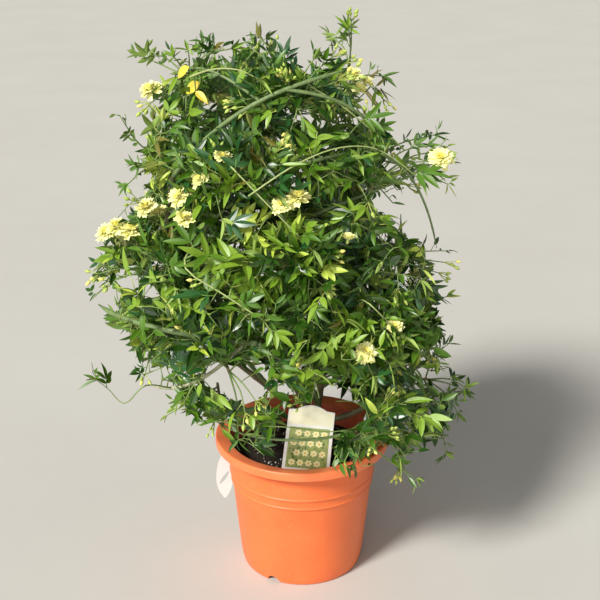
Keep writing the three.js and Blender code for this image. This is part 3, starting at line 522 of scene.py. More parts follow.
def node(tree, kind, values=None, **settings):
    """A shader node's outputs; a value that is a socket is linked, and any other is set."""
    made = tree.nodes.new(kind)
    for key, value in settings.items():
        setattr(made, key, value)
    for key, value in (values or {}).items():
        if isinstance(value, bpy.types.NodeSocket):
            wire(made, {key: value})
        else:
            made.inputs[key].default_value = value
    return made.outputs


def object_place(tree):
    return node(tree, "ShaderNodeTexCoord")["Object"]


def mapped(tree, value, ends):
    """The value moved from one range to another, each of which is 0 to 1 unless given."""
    return node(tree, "ShaderNodeMapRange", {"Value": value, **ends})["Result"]


def product(tree, one, other):
    return node(tree, "ShaderNodeMath", {0: one, 1: other}, operation="MULTIPLY")["Value"]


def mixed(tree, factor, one, other):
    return node(tree, "ShaderNodeMix", {"Factor": factor, "A": one, "B": other}, data_type="RGBA")["Result"]


def mottle_effect():
    """Two colours dealt out by soft noise at a given scale, with a mask and a fine grain height."""
    group, given, result = effect(
        "soft_mottle",
        {"Main": WHITE, "Other": BLACK, "Scale": 40.0, "Amount": 0.5, "Grain Scale": 900.0},
        {"Color": tuple, "Mask": float, "Grain": float})
    place = object_place(group)
    soft = node(group, "ShaderNodeTexNoise",
                {"Vector": place, "Scale": given["Scale"], "Detail": 4.0, "Roughness": 0.6})
    fine = node(group, "ShaderNodeTexNoise",
                {"Vector": place, "Scale": given["Grain Scale"], "Detail": 3.0, "Roughness": 0.7})
    mask = mapped(group, soft["Fac"], {"From Min": 0.35, "From Max": 0.65})
    colour = mixed(group, product(group, mask, given["Amount"]), given["Main"], given["Other"])
    wire(result, {"Color": colour, "Mask": mask, "Grain": fine["Fac"]})
    return group


def streak_effect():
    """Two colours in streaks stretched along +Z, as on bark and canes, with a height for relief."""
    group, given, result = effect(
        "bark_streak",
        {"Main": WHITE, "Other": BLACK, "Scale": 300.0, "Stretch": 0.15, "Amount": 0.8},
        {"Color": tuple, "Height": float})
    shape = node(group, "ShaderNodeCombineXYZ", {"X": 1.0, "Y": 1.0, "Z": given["Stretch"]})["Vector"]
    squeezed = node(group, "ShaderNodeVectorMath", {0: object_place(group), 1: shape}, operation="MULTIPLY")
    noise = node(group, "ShaderNodeTexNoise", {"Vector": squeezed["Vector"], "Scale": given["Scale"],
                                               "Detail": 5.0, "Roughness": 0.65})["Fac"]
    mask = mapped(group, noise, {"From Min": 0.38, "From Max": 0.62})
    colour = mixed(group, product(group, mask, given["Amount"]), given["Main"], given["Other"])
    wire(result, {"Color": colour, "Height": noise})
    return group


MOTTLE = mottle_effect()
STREAK = streak_effect()


def bare_material(name, roughness, **values):
    """A material with its Principled shader, which is what a finish starts from."""
    material = bpy.data.materials.new(name)
    material.use_nodes = True
    shader = material.node_tree.nodes["Principled BSDF"]
    shader.inputs["Roughness"].default_value = roughness
    for key, value in values.items():
        shader.inputs[key.replace("_", " ")].default_value = value
    return material, material.node_tree, shader


def add_relief(tree, shader, height, strength, distance):
    relief = node(tree, "ShaderNodeBump", {"Height": height, "Strength": strength, "Distance": distance})
    wire(shader, {"Normal": relief["Normal"]})


def mottled(name, main, other, scale, amount, roughness, bump=0.0, grain=900.0, rough_span=0.0, **values):
    """A finish of two soft colours with a fine grain, such as moulded plastic."""
    material, tree, shader = bare_material(name, roughness, **values)
    tone = node(tree, "ShaderNodeGroup", {"Main": srgb(*main), "Other": srgb(*other), "Scale": scale,
                                          "Amount": amount, "Grain Scale": grain}, node_tree=MOTTLE)
    wire(shader, {"Base Color": tone["Color"]})
    if rough_span:
        ends = {"To Min": roughness - rough_span, "To Max": roughness + rough_span}
        wire(shader, {"Roughness": mapped(tree, tone["Mask"], ends)})
    if bump:
        add_relief(tree, shader, tone["Grain"], bump, 0.0004)
    return material


def streaked(name, main, other, scale, stretch, roughness, bump, amount=0.8):
    """A finish of streaks along the height, such as bark."""
    material, tree, shader = bare_material(name, roughness)
    tone = node(tree, "ShaderNodeGroup", {"Main": srgb(*main), "Other": srgb(*other), "Scale": scale,
                                          "Stretch": stretch, "Amount": amount}, node_tree=STREAK)
    wire(shader, {"Base Color": tone["Color"]})
    add_relief(tree, shader, tone["Height"], bump, 0.0006)
    return material


def add_dust_and_glints(material, colour, scale, size, share):
    """Small pale specks, partly dust and partly painted glints of light: size is a speck's reach in its cell,
    share the part of cells with one.
    """
    tree = material.node_tree
    base = tree.nodes["Principled BSDF"].inputs["Base Color"]
    cells = node(tree, "ShaderNodeTexVoronoi", {"Vector": object_place(tree), "Scale": scale})
    near = mapped(tree, cells["Distance"], {"From Max": size, "To Min": 1.0, "To Max": 0.0})
    chosen = mapped(tree, cells["Color"], {"From Min": 1 - share, "From Max": 1.05 - share})
    speck = product(tree, near, chosen)
    tree.links.new(mixed(tree, speck, base.links[0].from_socket, srgb(*colour)), base)


def leaf_material(name, face, shade, back, roughness):
    """A leaf: glossy on its face, in two near greens, and paler and duller on its back."""
    material, tree, shader = bare_material(name, roughness, Specular_IOR_Level=0.6)
    tone = node(tree, "ShaderNodeGroup", {"Main": srgb(*face), "Other": srgb(*shade), "Scale": 55.0,
                                          "Amount": 0.8}, node_tree=MOTTLE)
    side = node(tree, "ShaderNodeNewGeometry")["Backfacing"]
    dull = mapped(tree, side, {"To Min": roughness, "To Max": min(1.0, roughness + 0.3)})
    wire(shader, {"Base Color": mixed(tree, side, tone["Color"], srgb(*back)), "Roughness": dull})
    return material


# The camera stands where the photograph was taken from; one pixel is a 1100th of the distance

CAMERA = dict(x=-2, y=-1037.7, z=687, pitch=20.656, lens=66, sensor=36, clip_end=100)
EYE = np.array([CAMERA[k] for k in "xyz"], float)


def add_camera():
    data = bpy.data.cameras.new("camera")
    data.lens, data.sensor_width, data.clip_end = (CAMERA[k] for k in ("lens", "sensor", "clip_end"))
    camera = new_object("camera", data)
    camera.location = EYE * MM
    camera.rotation_euler = (math.radians(90 - CAMERA["pitch"]), 0, 0)
    bpy.context.scene.camera = camera


# Pot

def bead(radius, height):
    """A rounded ridge round the wall, which is a little wider above it."""
    roll, step = POT["roll"], POT["bead"]
    return [(radius, height - roll), (radius + roll * 1.2, height - roll * 0.4),
            (radius + roll * 1.2, height + roll * 0.6), (radius + step, height + roll * 1.3)]


def pot_profile():
    """Outside from the middle of the underside to the rim, and back down the inside."""
    p = POT
    inner, top, under = p["collar"] - p["wall"], p["height"], p["height"] - p["band"]
    band, over = p["rim"] - p["band_wall"], p["high"] + p["bead"] + 0.5
    outside = [
        (0, 0), (p["disc"], 0), (p["disc"] + 1, p["lift"]), (p["foot"] - 2.5, p["lift"]),
        (p["foot"] - 1.8, 0), (p["foot"], 0), (p["foot"] + 0.8, 0.8), (p["foot"] + 2.3, 6),
        (p["low"], p["low_height"]),
        *bead(p["high"], p["bead_low"]), *bead(over, p["bead_high"]),
        (p["collar"], top - 4.4), (band, top - 2.6), (band, under),
        (p["rim"], under), (p["rim"], top - 1.1), (p["rim"] - 1.1, top),
    ]
    lip = [(inner + 1, top - 2.7), (inner, top - 3.9)]
    ridges = []
    for height in np.arange(top - 6, SOIL["height"] - 8, -p["ridge_pitch"] / 4):
        wall = lerp(p["high"] - p["wall"], inner, (height - p["bead_low"]) / (top - 4 - p["bead_low"]))
        ridges.append((wall - p["ridge"] * (0.5 + 0.5 * math.sin(TAU * height / p["ridge_pitch"])), height))
    floor_top = p["lift"] + p["floor"]
    inside = [(p["high"] - p["wall"], p["bead_low"]), (p["low"] - p["wall"], p["low_height"]),
              (p["foot"] + 0.6, floor_top + 1), (p["foot"] - 1, floor_top), (0, floor_top)]
    return rounded([*outside, *lip], p["edge"]), [*ridges, *inside]


def pot_finishes():
    """Plastic for the body and, a little paler, for the rim band, both with pale specks of dust and painted
    glints; and for the inner wall.
    """
    body = mottled("pot_plastic", (236, 112, 58), (242, 127, 69), 26, 0.5, 0.42, bump=0.12, grain=1500,
                   rough_span=0.05, Specular_IOR_Level=0.45)
    band = mottled("pot_rim", (242, 122, 70), (246, 136, 84), 34, 0.6, 0.38, bump=0.08, grain=1500,
                   rough_span=0.05, Specular_IOR_Level=0.5)
    for finish in (body, band):
        # pale specks: partly dust, partly painted glints of light on the plastic
        add_dust_and_glints(finish, (255, 214, 184), 300, 0.15, 0.4)
    inner = mottled("pot_inner_wall", (216, 100, 66), (232, 122, 86), 60, 0.7, 0.5, bump=0.1, grain=1200,
                    Specular_IOR_Level=0.4)
    return [body, band, inner]


def cut_hole(piece, radius, length, out, turn, lying=False):
    """Marks the piece to be cut by a cylinder, which stands or lies as far out from the pot's middle."""
    half = length / 2
    points, fours = lathe([(0, -half), (radius, -half), (radius, half), (0, half)], 32)
    if lying:
        points = points[:, [0, 2, 1]] * [1, 1, -1]
    points[:, 1] -= out
    points[:, 0], points[:, 1] = turned(points[:, 0], points[:, 1], math.radians(turn))
    cutter = closed_piece("cutter", [], points, fours=fours, smooth=False)
    cutter.hide_render = cutter.hide_viewport = True
    modifier = piece.modifiers.new("cut", "BOOLEAN")
    modifier.operation, modifier.solver, modifier.object = "DIFFERENCE", "EXACT", cutter
    return cutter


def add_pot():
    p = POT
    outside, inside = pot_profile()
    profile = np.vstack([outside, inside])
    points, fours = lathe(profile, p["turns"])
    spans = fours.reshape(len(profile) - 1, p["turns"], 4)
    radii, heights = profile[:-1].T
    is_inner = np.arange(len(spans)) >= len(outside) - 4
    is_band = ~is_inner & (heights > p["height"] - p["band"] - 0.5) & (radii > p["rim"] - 6)
    shares = [spans[chosen].reshape(-1, 4) for chosen in (~is_inner & ~is_band, is_band, is_inner)]
    heap = Heap()
    heap.add(points, fours=np.vstack(shares), mark=np.repeat([0, 1, 2], [len(share) for share in shares]))
    pot = heap.build("pot_shell", pot_finishes())
    weld(pot)
    cutters = [cut_hole(pot, p["notch"], 16, p["foot"], p["notch_turn"] + i * 360 / p["notches"], lying=True)
               for i in range(p["notches"])]
    cutters += [cut_hole(pot, p["drain"], 12, p["drain_ring"], (i + 0.5) * 360 / p["drains"])
                for i in range(p["drains"])]
    mesh = evaluated_mesh(pot)
    pot.modifiers.clear()
    pot.data = mesh
    for cutter in cutters:
        bpy.data.objects.remove(cutter)
    mesh.polygons.foreach_set("use_smooth", np.ones(len(mesh.polygons), bool))
    mesh.set_sharp_from_angle(angle=math.radians(p["crisp_from"]))
    keep(pot, "pot_plastic", "pot")


# Soil

def soil_radius(height):
    """The soil's side, just inside the pot's wall."""
    p = POT
    return lerp(p["low"] - p["wall"] - SOIL["gap"], p["high"] - p["wall"] - SOIL["gap"],
                (height - p["low_height"]) / (p["bead_low"] - p["low_height"]))


SOIL_EDGE = soil_radius(SOIL["height"]) - 0.4


def soil_height(x, y):
    """The lumpy top of the soil, a little lower at the pot's wall."""
    waves = (np.sin(0.21 * x + 1.3) * np.cos(0.17 * y - 0.4) + 0.6 * np.sin(0.43 * x - 0.31 * y + 2.0)
             + 0.4 * np.sin(0.9 * x + 0.7 * y) + 0.3 * np.cos(1.3 * y - 0.8 * x + 0.5))
    edge = smoothstep(np.hypot(x, y), SOIL["shoulder"] - 6, soil_radius(SOIL["height"]))
    return SOIL["height"] - 0.8 - SOIL["edge_drop"] * edge + 0.5 * SOIL["lumps"] * waves * (1 - 0.6 * edge)


def crumb(rng, centre, size):
    """A small lump: a jittered octahedron, squashed and turned."""
    corners = np.array([[1, 0, 0], [-1, 0, 0], [0, 1, 0], [0, -1, 0], [0, 0, 1], [0, 0, -1]], float)
    corners *= rng.uniform(0.55, 1.1, (6, 1)) * rng.uniform(0.6, 1.2, (1, 3))
    turn = np.linalg.qr(rng.normal(size=(3, 3)))[0]
    if np.linalg.det(turn) < 0:
        turn[:, 0] *= -1
    faces = [[0, 2, 4], [2, 1, 4], [1, 3, 4], [3, 0, 4], [2, 0, 5], [1, 2, 5], [3, 1, 5], [0, 3, 5]]
    return corners @ turn.T * size + centre, faces


def add_soil():
    """The soil's body, from the middle of its underside up the pot's wall and in over its top."""
    turns, bottom = SOIL["turns"], POT["lift"] + POT["floor"] + 0.3
    rows = [circle(0, bottom, turns), circle(POT["foot"] - 1, bottom, turns)]
    rows += [circle(soil_radius(height), height, turns) for height in (POT["low_height"], POT["bead_low"])]
    for k in range(SOIL["rings"] + 1):
        row = circle(SOIL_EDGE * (1 - k / SOIL["rings"]), 0, turns)
        row[:, 2] = soil_height(row[:, 0], row[:, 1])
        rows.append(row)
    earth = mottled("potting_soil", (34, 28, 24), (62, 50, 40), 420, 0.8, 0.95, bump=0.9, grain=1600)
    body = closed_piece("soil_body", [earth], np.vstack(rows), fours=quads(len(rows), turns))
    keep(body, "potting_soil", "soil")


def add_crumbs():
    """Loose crumbs of soil and white grains, with none where the trunk stands."""
    rng = np.random.default_rng(SEED)
    crumbs, white = Heap(), Heap()
    for index in range(SOIL["crumbs"] + SOIL["perlite"]):
        r, angle = (SOIL_EDGE - 1) * math.sqrt(rng.random()), TAU * rng.random()
        x, y = r * math.sin(angle), -r * math.cos(angle)
        is_white = index >= SOIL["crumbs"]
        size = (rng.uniform(*SOIL["grain"]) if is_white
                else rng.uniform(*SOIL["crumb"]) * rng.uniform(*SOIL["shrink"]))
        points, faces = crumb(rng, np.array([x, y, soil_height(x, y) + 0.25 * size]), size)
        if math.hypot(x - TRUNK["foot"][0], y - TRUNK["foot"][1]) >= TRUNK["flare"] * 0.7:
            (white if is_white else crumbs).add(points, threes=faces)
    lumps = mottled("soil_crumbs", (30, 24, 20), (84, 66, 50), 300, 0.7, 0.95, bump=0.6, grain=1800)
    pale = mottled("perlite", (228, 226, 218), (196, 190, 178), 500, 0.6, 0.9, bump=0.4)
    keep(crumbs.build("soil_crumbs", [lumps], smooth=False), "potting_soil")
    keep(white.build("perlite_grains", [pale], smooth=False), "potting_soil")


# Label card and tag

def card_outline(inset=0.0, low=0.0, high=None):
    """The card's edge in width and height, tapered, and arched at its top unless it ends at a height."""
    c = CARD
    foot, top = c["width"] / 2 - inset, c["top_width"] / 2 - inset
    shoulder = c["height"] - c["arch"] - inset
    wide_low = lerp(foot, top, low / shoulder)
    if high is not None:
        wide = lerp(foot, top, high / shoulder)
        return [(-wide_low, low), (wide_low, low), (wide, high), (-wide, high)]
    arch = [(-0.62 * top * t, shoulder + 1 + (c["arch"] - 1) * (1 - abs(t) ** 1.8) ** 0.9)
            for t in np.linspace(-1, 1, 17)]
    return [(-wide_low, low), (wide_low, low), (top, shoulder), *arch, (-top, shoulder)]


def card_place(points):
    """From the card's own width, depth and height to its place in the soil."""
    x, y, z = np.asarray(points, float).T
    y, z = turned(y, z, -math.radians(CARD["lean"]))
    x, z = turned(x, z, -math.radians(CARD["tilt"]))
    return np.stack([x + CARD["x"], y + CARD["y"], z + SOIL["height"] - CARD["sunk"]], 1)


def slab(outline, front, back):
    """A flat plate from an outline in width and height, with its front towards -Y."""
    count = len(outline)
    flat = np.array([*outline, np.mean(outline, axis=0)], float)
    points = np.vstack([np.stack([flat[:, 0], np.full(count + 1, y), flat[:, 1]], 1) for y in (front, back)])
    ring = np.arange(count)
    after = (ring + 1) % count
    behind = ring + count + 1
    threes = np.vstack([np.stack([ring, after, np.full(count, count)], 1),
                        np.stack([after + count + 1, behind, np.full(count, 2 * count + 1)], 1)])
    return points, threes, np.stack([after, ring, behind, after + count + 1], 1)


def rosette(cx, cz, radius, petals, turn, dent=0.3):
    """The outline of a round flower with dents between its petals."""
    outline = []
    for angle in TAU * np.arange(petals * 6) / (petals * 6):
        reach = radius * (1 - dent * (0.5 + 0.5 * math.cos(petals * angle)) ** 2)
        outline.append((cx + reach * math.cos(angle + turn), cz + reach * math.sin(angle + turn)))
    return outline


def sprig_leaf(cx, cz, length, turn):
    """The outline of a small pointed leaf."""
    outline = [(length * t, 0.2 * length * math.sin(math.pi * t)) for t in np.linspace(0, 1, 7)]
    outline += [(length * t, -0.2 * length * math.sin(math.pi * t)) for t in np.linspace(1, 0, 7)[1:-1]]
    return [(cx + x, cz + z) for x, z in (turned(*corner, turn) for corner in outline)]


def add_card():
    half = CARD["thick"] / 2
    points, threes, fours = slab(card_outline(), -half, half)
    board = Heap()
    board.add(card_place(points), threes, fours)
    white = mottled("card_plastic", (252, 252, 248), (244, 244, 238), 30, 0.5, 0.32, Specular_IOR_Level=0.5)
    keep(board.build("label_board", [white], smooth=False), "label_plastic", "label_card")


# Inks: name, colour, other colour, scale and share of their mottle

INKS = [
    ("cream", (254, 248, 208), (254, 252, 236), 60, 0.7),
    ("green", (140, 158, 86), (178, 190, 120), 220, 0.9),
    ("leaf", (84, 112, 54), (100, 130, 66), 300, 0.6),
    ("light_leaf", (168, 184, 92), (150, 170, 80), 300, 0.6),
    ("petal", (250, 244, 178), (255, 250, 214), 400, 0.6),
    ("heart", (236, 206, 88), (226, 190, 66), 400, 0.6),
]
PRINT = dict(head_inset=1.2, head=67, inset=3.2, low=20, high=64, leaves=90, rows=4, flower=3.7, heart=1.3)


def add_print():
    """The print: a cream head, and a garden pattern of small round flowers and leaf sprigs on green."""
    p, rng, heap = PRINT, random.Random(SEED), Heap()
    level, half, wide = 0.02, CARD["thick"] / 2, CARD["width"] / 2 - 5

    def lay(outline, mark, step=0.008):
        nonlocal level
        level += step
        front = len(outline) + 1
        shape, threes, _ = slab(outline, -half - level, -half)
        heap.add(card_place(shape[:front]), threes=threes[:len(outline)], mark=mark)

    lay(card_outline(p["head_inset"], low=p["head"]), 0)
    lay(card_outline(p["inset"], low=p["low"], high=p["high"]), 1)
    for k in range(p["leaves"]):
        x, z = rng.uniform(-wide, wide), rng.uniform(p["low"] + 3, p["high"] - 4)
        lay(sprig_leaf(x, z, rng.uniform(3.0, 5.5), rng.uniform(0, TAU)) if abs(x) < wide - 5
            else rosette(x, z, 1.0, 3, 0), 2 + k % 2, 0.002)
    for row in range(p["rows"]):
        for column in range(p["rows"]):
            x = lerp(-wide + 4.5, wide - 4.5, (column + 0.5 * (row % 2)) / (p["rows"] - 0.5))
            z = lerp(p["low"] + 6, p["high"] - 6, row / (p["rows"] - 1))
            lay(rosette(x, z, p["flower"], 6, rng.random()), 4, 0.004)
            lay(rosette(x, z, p["heart"], 5, rng.random()), 5, 0.004)
    inks = [mottled(f"card_{name}_ink", main, other, scale, amount, 0.3)
            for name, main, other, scale, amount in INKS]
    keep(heap.build("label_print", inks, smooth=False), "label_plastic")


def bend(a, b, c, steps=10):
    """A flat curve from a towards c, pulled to b, without its end."""
    a, b, c = np.array(a), np.array(b), np.array(c)
    return [tuple((1 - s) ** 2 * a + 2 * s * (1 - s) * b + s * s * c)
            for s in np.linspace(0, 1, steps, endpoint=False)]


def tag_outline():
    """Half of the tag's edge from its neck to its tip, and the same back up, with the neck's top at 0."""
    t = TAG
    half, neck, neck_end = t["width"] / 2, t["neck"] / 2, -t["neck_length"]
    low, middle = t["tip"] - t["top"], t["shoulder"] - t["top"]
    side = [(-neck, 0.0), *bend((-neck, neck_end), (-half, neck_end - 12), (-half, middle)),
            *bend((-half, middle), (-half, low * 0.88), (0, low))]
    return [*side, (0, low), *[(-x, z) for x, z in reversed(side)]]


def tag_slit():
    t = TAG
    hole = []
    for angle in np.arange(24) * TAU / 24:
        x, z = turned(t["slit_width"] / 2 * math.cos(angle), t["slit_length"] / 2 * math.sin(angle),
                      -math.radians(t["slit_tilt"]))
        hole.append((x, z + t["slit_height"] - t["top"]))
    return hole


def add_tag():
    t = TAG
    curve = bpy.data.curves.new("tag_outline", "CURVE")
    curve.dimensions, curve.fill_mode, curve.extrude = "2D", "BOTH", t["thick"] / 2 * MM
    for ring in (tag_outline(), tag_slit()):
        spline = curve.splines.new("POLY")
        spline.points.add(len(ring) - 1)
        spline.points.foreach_set("co", np.array([(x * MM, z * MM, 0, 1) for x, z in ring]).ravel())
        spline.use_cyclic_u = True
    drawn = new_object("tag_drawing", curve)
    tag = new_object("hang_tag_leaf", evaluated_mesh(drawn))
    bpy.data.objects.remove(drawn)
    stand = Matrix.Rotation(math.pi / 2, 4, "X")
    tag.data.transform(Matrix.Translation(Vector((t["x"], t["y"], t["top"])) * MM) @ stand)
    tag.data.materials.clear()
    tag.data.materials.append(mottled("tag_plastic", (214, 214, 210), (204, 206, 206), 50, 0.5, 0.35))
    keep(tag, "label_plastic", "hang_tag")


# The crown's shape

def axis_at(height):
    """How far right the crown's axis is, which leans to the left as it goes up."""
    return lerp(AXIS_LOW, AXIS_HIGH, smoothstep(height, LEAN_FROM, LEAN_TO))


def place(turn, height, out):
    """A place that far out from the axis, where turn 0 is the front and 90 the right."""
    angle = math.radians(turn)
    return np.array([axis_at(height) + out * math.sin(angle), -DEPTH_SHARE * out * math.cos(angle), height])


def ends_at(outline, height):
    """An outline's left and right end at a height."""
    return [np.interp(height, outline[:, 0], outline[:, k]) for k in (1, 2)]


def underside_at(x):
    u, t = UNDERSIDE, np.asarray(x, float) / UNDERSIDE["span"]
    return np.where(t < 0, lerp(u["middle"], u["left"], np.clip(-t, 0, 1)),
                    lerp(u["middle"], u["right"], np.clip(t * t, 0, 1)))


def spread(points):
    """1 on the crown's outer surface, less inside it."""
    x, y, z = np.asarray(points, float).T
    left, right = ends_at(OUTLINE, z)
    half = (right - left) / 2
    return np.hypot((x - (left + right) / 2) / half, y / (DEPTH_SHARE * half))


def over_pot(points):
    """Is each point in the pot, or just above its rim?"""
    x, y, z = np.asarray(points, float).T
    return (np.hypot(x, y) < POT["rim"] + 2) & (z < POT["height"] + 3)


def near_crown(points):
    """Where a single shoot's leaves may be: up to a little outside the crown, within the solids' box."""
    low, high = np.array(cad_box) / MM
    in_box = ((points > low - BOX_ROOM) & (points < high + BOX_ROOM)).all(axis=1)
    return in_box & (spread(points) < MOST_SPREAD) & ~over_pot(points)


def inside_crown(points):
    points = np.asarray(points, float)
    x, y, z = points.T
    c = CARD_CLEAR
    at_card = (np.abs(x - c["x"]) < c["half"]) & (y < c["front"]) & (z < c["high"]) & (z > c["low"])
    return ((z > OUTLINE[0, 0]) & (z < OUTLINE[-1, 0]) & (z > underside_at(x)) & ~over_pot(points)
            & ~at_card & (spread(points) <= 1))


def outward_at(p):
    """The level direction out of the crown."""
    return unit(np.array([p[0] - axis_at(p[2]), p[1] / DEPTH_SHARE ** 2, 0.0]))


def view_crossing(points, depth=0):
    """Where the camera's ray through each point crosses the upright plane at that depth."""
    rays = np.asarray(points, float) - EYE
    return EYE + rays * ((depth - EYE[1]) / rays[:, 1])[:, None]


def view_gaps(seen, places):
    """How far each crossing lies from each place, which starts with its left or right and its height."""
    return np.hypot(seen[:, None, 0] - places[None, :, 0], seen[:, None, 2] - places[None, :, 1])


def ragged(along):
    """How far the crown's edge falls short there, in uneven waves, for it isn't clipped like a hedge."""
    return VEIL["ragged"] * (1 + 0.6 * np.sin(along / 6.5) + 0.4 * np.sin(along / 2.9))


def in_sight(points, room=0):
    """Do all the points lie inside the crown's outline as the camera sees it, with that much room?"""
    x, _, z = view_crossing(points).T
    left, right = ends_at(SEEN, z)
    left, right = left + ragged(z), right - ragged(z + 11)
    top = np.interp(x, SKYLINE[:, 0], SKYLINE[:, 1]) + VEIL["ragged"] - ragged(x)
    return bool(((x > left + room) & (x < right - room) & (z > SEEN[0, 0]) & (z < top - room)).all())


def hides_card(points):
    """Does any of the points stand between the camera and the label card?"""
    c, (x, _, z) = CARD_SEEN, view_crossing(points, CARD["y"]).T
    return bool(((points[:, 1] < c["front"]) & (np.abs(x - c["x"]) < c["half"])
                 & (z > c["low"]) & (z < c["high"])).any())


class Veil:
    """What must stay in sight behind the leaves, by places on the view.

    Each has its depth and radius, and the share of the leaves in front of it that are kept.
    """

    def __init__(self):
        self.rows, self.rnd, self.openings = [], random.Random(SEED + 3), np.array(OPENINGS, float)

    def add(self, points, radius, share):
        for seen, point in zip(view_crossing(points), points):
            self.rows.append((seen[0], seen[2], point[1], radius, share))

    def close(self):
        self.table = np.array(self.rows)

    def share_open(self, points):
        """The share of the points that lie where the eye looks right through."""
        clear = self.openings[self.openings[:, 3] < VEIL["clear"]]
        return (view_gaps(view_crossing(points), clear) < clear[:, 2]).any(axis=1).mean()

    def thins_edge(self, points):
        """Some of the leaves close to the outline are left out, so that the edge stays loose."""
        return self.rnd.random() > VEIL["edge_share"] and not in_sight(points, VEIL["edge"])

    def rejects(self, points):
        """Is a leaf with these points left out, for an opening or for what must show behind it?"""
        seen, t = view_crossing(points), self.table
        inside = (view_gaps(seen, self.openings) < self.openings[:, 2]).any(axis=0)
        if inside.any() and self.rnd.random() >= self.openings[inside, 3].min():
            return True
        ahead = ((view_gaps(seen, t) < t[:, 3]) & (points[:, None, 1] < t[None, :, 2] - 1)).any(axis=0)
        return bool(ahead.any()) and self.rnd.random() >= t[ahead, 4].min()


# Trunk and canes

class Limb:
    """A trunk, cane or stem: its path, and its radius at each share of its length."""

    def __init__(self, name, path, first, last, radius_at=None):
        self.name, self.path = name, path
        lengths = np.concatenate([[0], np.cumsum(np.linalg.norm(np.diff(path, axis=0), axis=1))])
        self.length = lengths[-1]
        self.share = lengths / self.length
        self.radius_at = radius_at or (lambda t: lerp(first, last, t))

    def at(self, t):
        return np.array([np.interp(t, self.share, self.path[:, k]) for k in range(3)])

    def along(self, t):
        return unit(self.at(min(t + 0.02, 1)) - self.at(max(t - 0.02, 0)))


def make_trunk():
    foot = np.array([*TRUNK["foot"], SOIL["height"] - TRUNK["buried"]], float)
    top = np.array(TRUNK["top"], float)

    def radius_at(t):
        flare = math.exp(-t * (top[2] - SOIL["height"]) / TRUNK["flare_height"])
        knuckle = smoothstep(t, 0.45, 0.8) * (1 - 0.45 * smoothstep(t, 0.86, 1))
        return (TRUNK["radius"] + (TRUNK["flare"] - TRUNK["radius"]) * flare
                + (TRUNK["head"] - TRUNK["radius"]) * knuckle)

    return Limb("trunk", curve_through([foot, (foot + top) / 2 + TRUNK["bend"], top]), 0, 0, radius_at)


def make_cane(parent, row, spans=7):
    """A cane winds round the crown's axis from its place on its parent to its end turn, height and reach."""
    name, _, along, turn_from, turn_to, height_to, out_to, rise, quick, first, last = row
    start = parent.at(along)
    start_out = math.hypot(start[0] - axis_at(start[2]), start[1] / DEPTH_SHARE)
    drift = start - place(turn_from, start[2], start_out)
    points = [start]
    for i in range(1, spans + 1):
        t = i / spans
        reached = 1 - (1 - t) ** quick
        height = lerp(start[2], height_to, t) + rise * math.sin(math.pi * t)
        point = place(lerp(turn_from, turn_to, t), height, lerp(start_out, out_to, reached))
        points.append(point + drift * (1 - t) ** 3)
    return Limb(name, curve_through(points), first, last)


def make_limbs():
    limbs = {"trunk": make_trunk()}
    for row in CANES:
        limbs[row[0]] = make_cane(limbs[row[1]], row)
    return limbs


def add_trunk(trunk, steps=70, sides=40):
    """Bark with long ridges and a lumpy knuckle where the canes set out."""
    phases = np.random.default_rng(SEED + 1).uniform(0, TAU, 6)
    path = spaced(trunk.path, steps)
    points, threes, fours = tube(path, 1.0, sides)
    angles = np.arange(sides) * TAU / sides
    for i in range(steps + 1):
        t, ring = i / steps, slice(i * sides, (i + 1) * sides)
        relief = (0.35 * np.sin(7 * angles + phases[0] + 2.2 * math.sin(5 * t + phases[1]))
                  + 0.25 * np.sin(13 * angles + phases[2] - 6 * t)
                  + 0.3 * np.sin(3 * angles + 9 * t + phases[3]))
        radii = trunk.radius_at(t) * 0.97 + relief * (0.5 + 0.5 * t)
        points[ring] = path[i] + (points[ring] - path[i]) * radii[:, None]
    points[:, 2] = np.maximum(points[:, 2], SOIL["height"] + 0.3)
    bark = streaked("bark", (122, 100, 74), (78, 62, 46), 260, 0.25, 0.85, 0.7)
    keep(closed_piece("trunk_bark", [bark], points, threes, fours), "bark", "trunk")


def add_canes(limbs):
    """Smooth canes, green in the sun and brown at the foot, with slight swellings where leaves were."""
    rng, c, heap = np.random.default_rng(SEED + 2), CANE, Heap()
    for name, parent, *_ in CANES:
        limb = limbs[name]
        steps = int(limb.length / c["step"])
        t = np.linspace(0, 1, steps + 1)
        along = t * limb.length + rng.uniform(0, 20)
        swelling = np.exp(-((along % c["node_every"]) - c["node_every"] / 2) ** 2 / 5.0)
        radii = np.array([limb.radius_at(s) for s in t]) * c["slim"] * (1 + c["swelling"] * swelling)
        if not any(other[1] == name and other[2] == 1 for other in CANES):
            radii = radii * lerp(1, c["tip"], smoothstep(t, 1 - c["tip_length"] / limb.length, 1))
        is_main = name.endswith("cane") and parent == "trunk"
        heap.add(*tube(spaced(limb.path, steps), radii, 10), 2 if name in PALE_CANES else int(is_main))
    green = streaked("cane_green", (120, 142, 88), (92, 112, 66), 180, 0.4, 0.5, 0.25)
    brown = streaked("cane_old", (126, 122, 88), (96, 86, 60), 200, 0.35, 0.6, 0.45)
    pale = streaked("cane_pale", (182, 184, 150), (146, 146, 110), 200, 0.4, 0.6, 0.3)
    keep(heap.build("canes", [green, brown, pale]), "cane", *[row[0] for row in CANES])


# Growth of the foliage

class Mass:
    def __init__(self, name, centre, seed):
        self.name, self.centre, self.seed = name, centre, seed


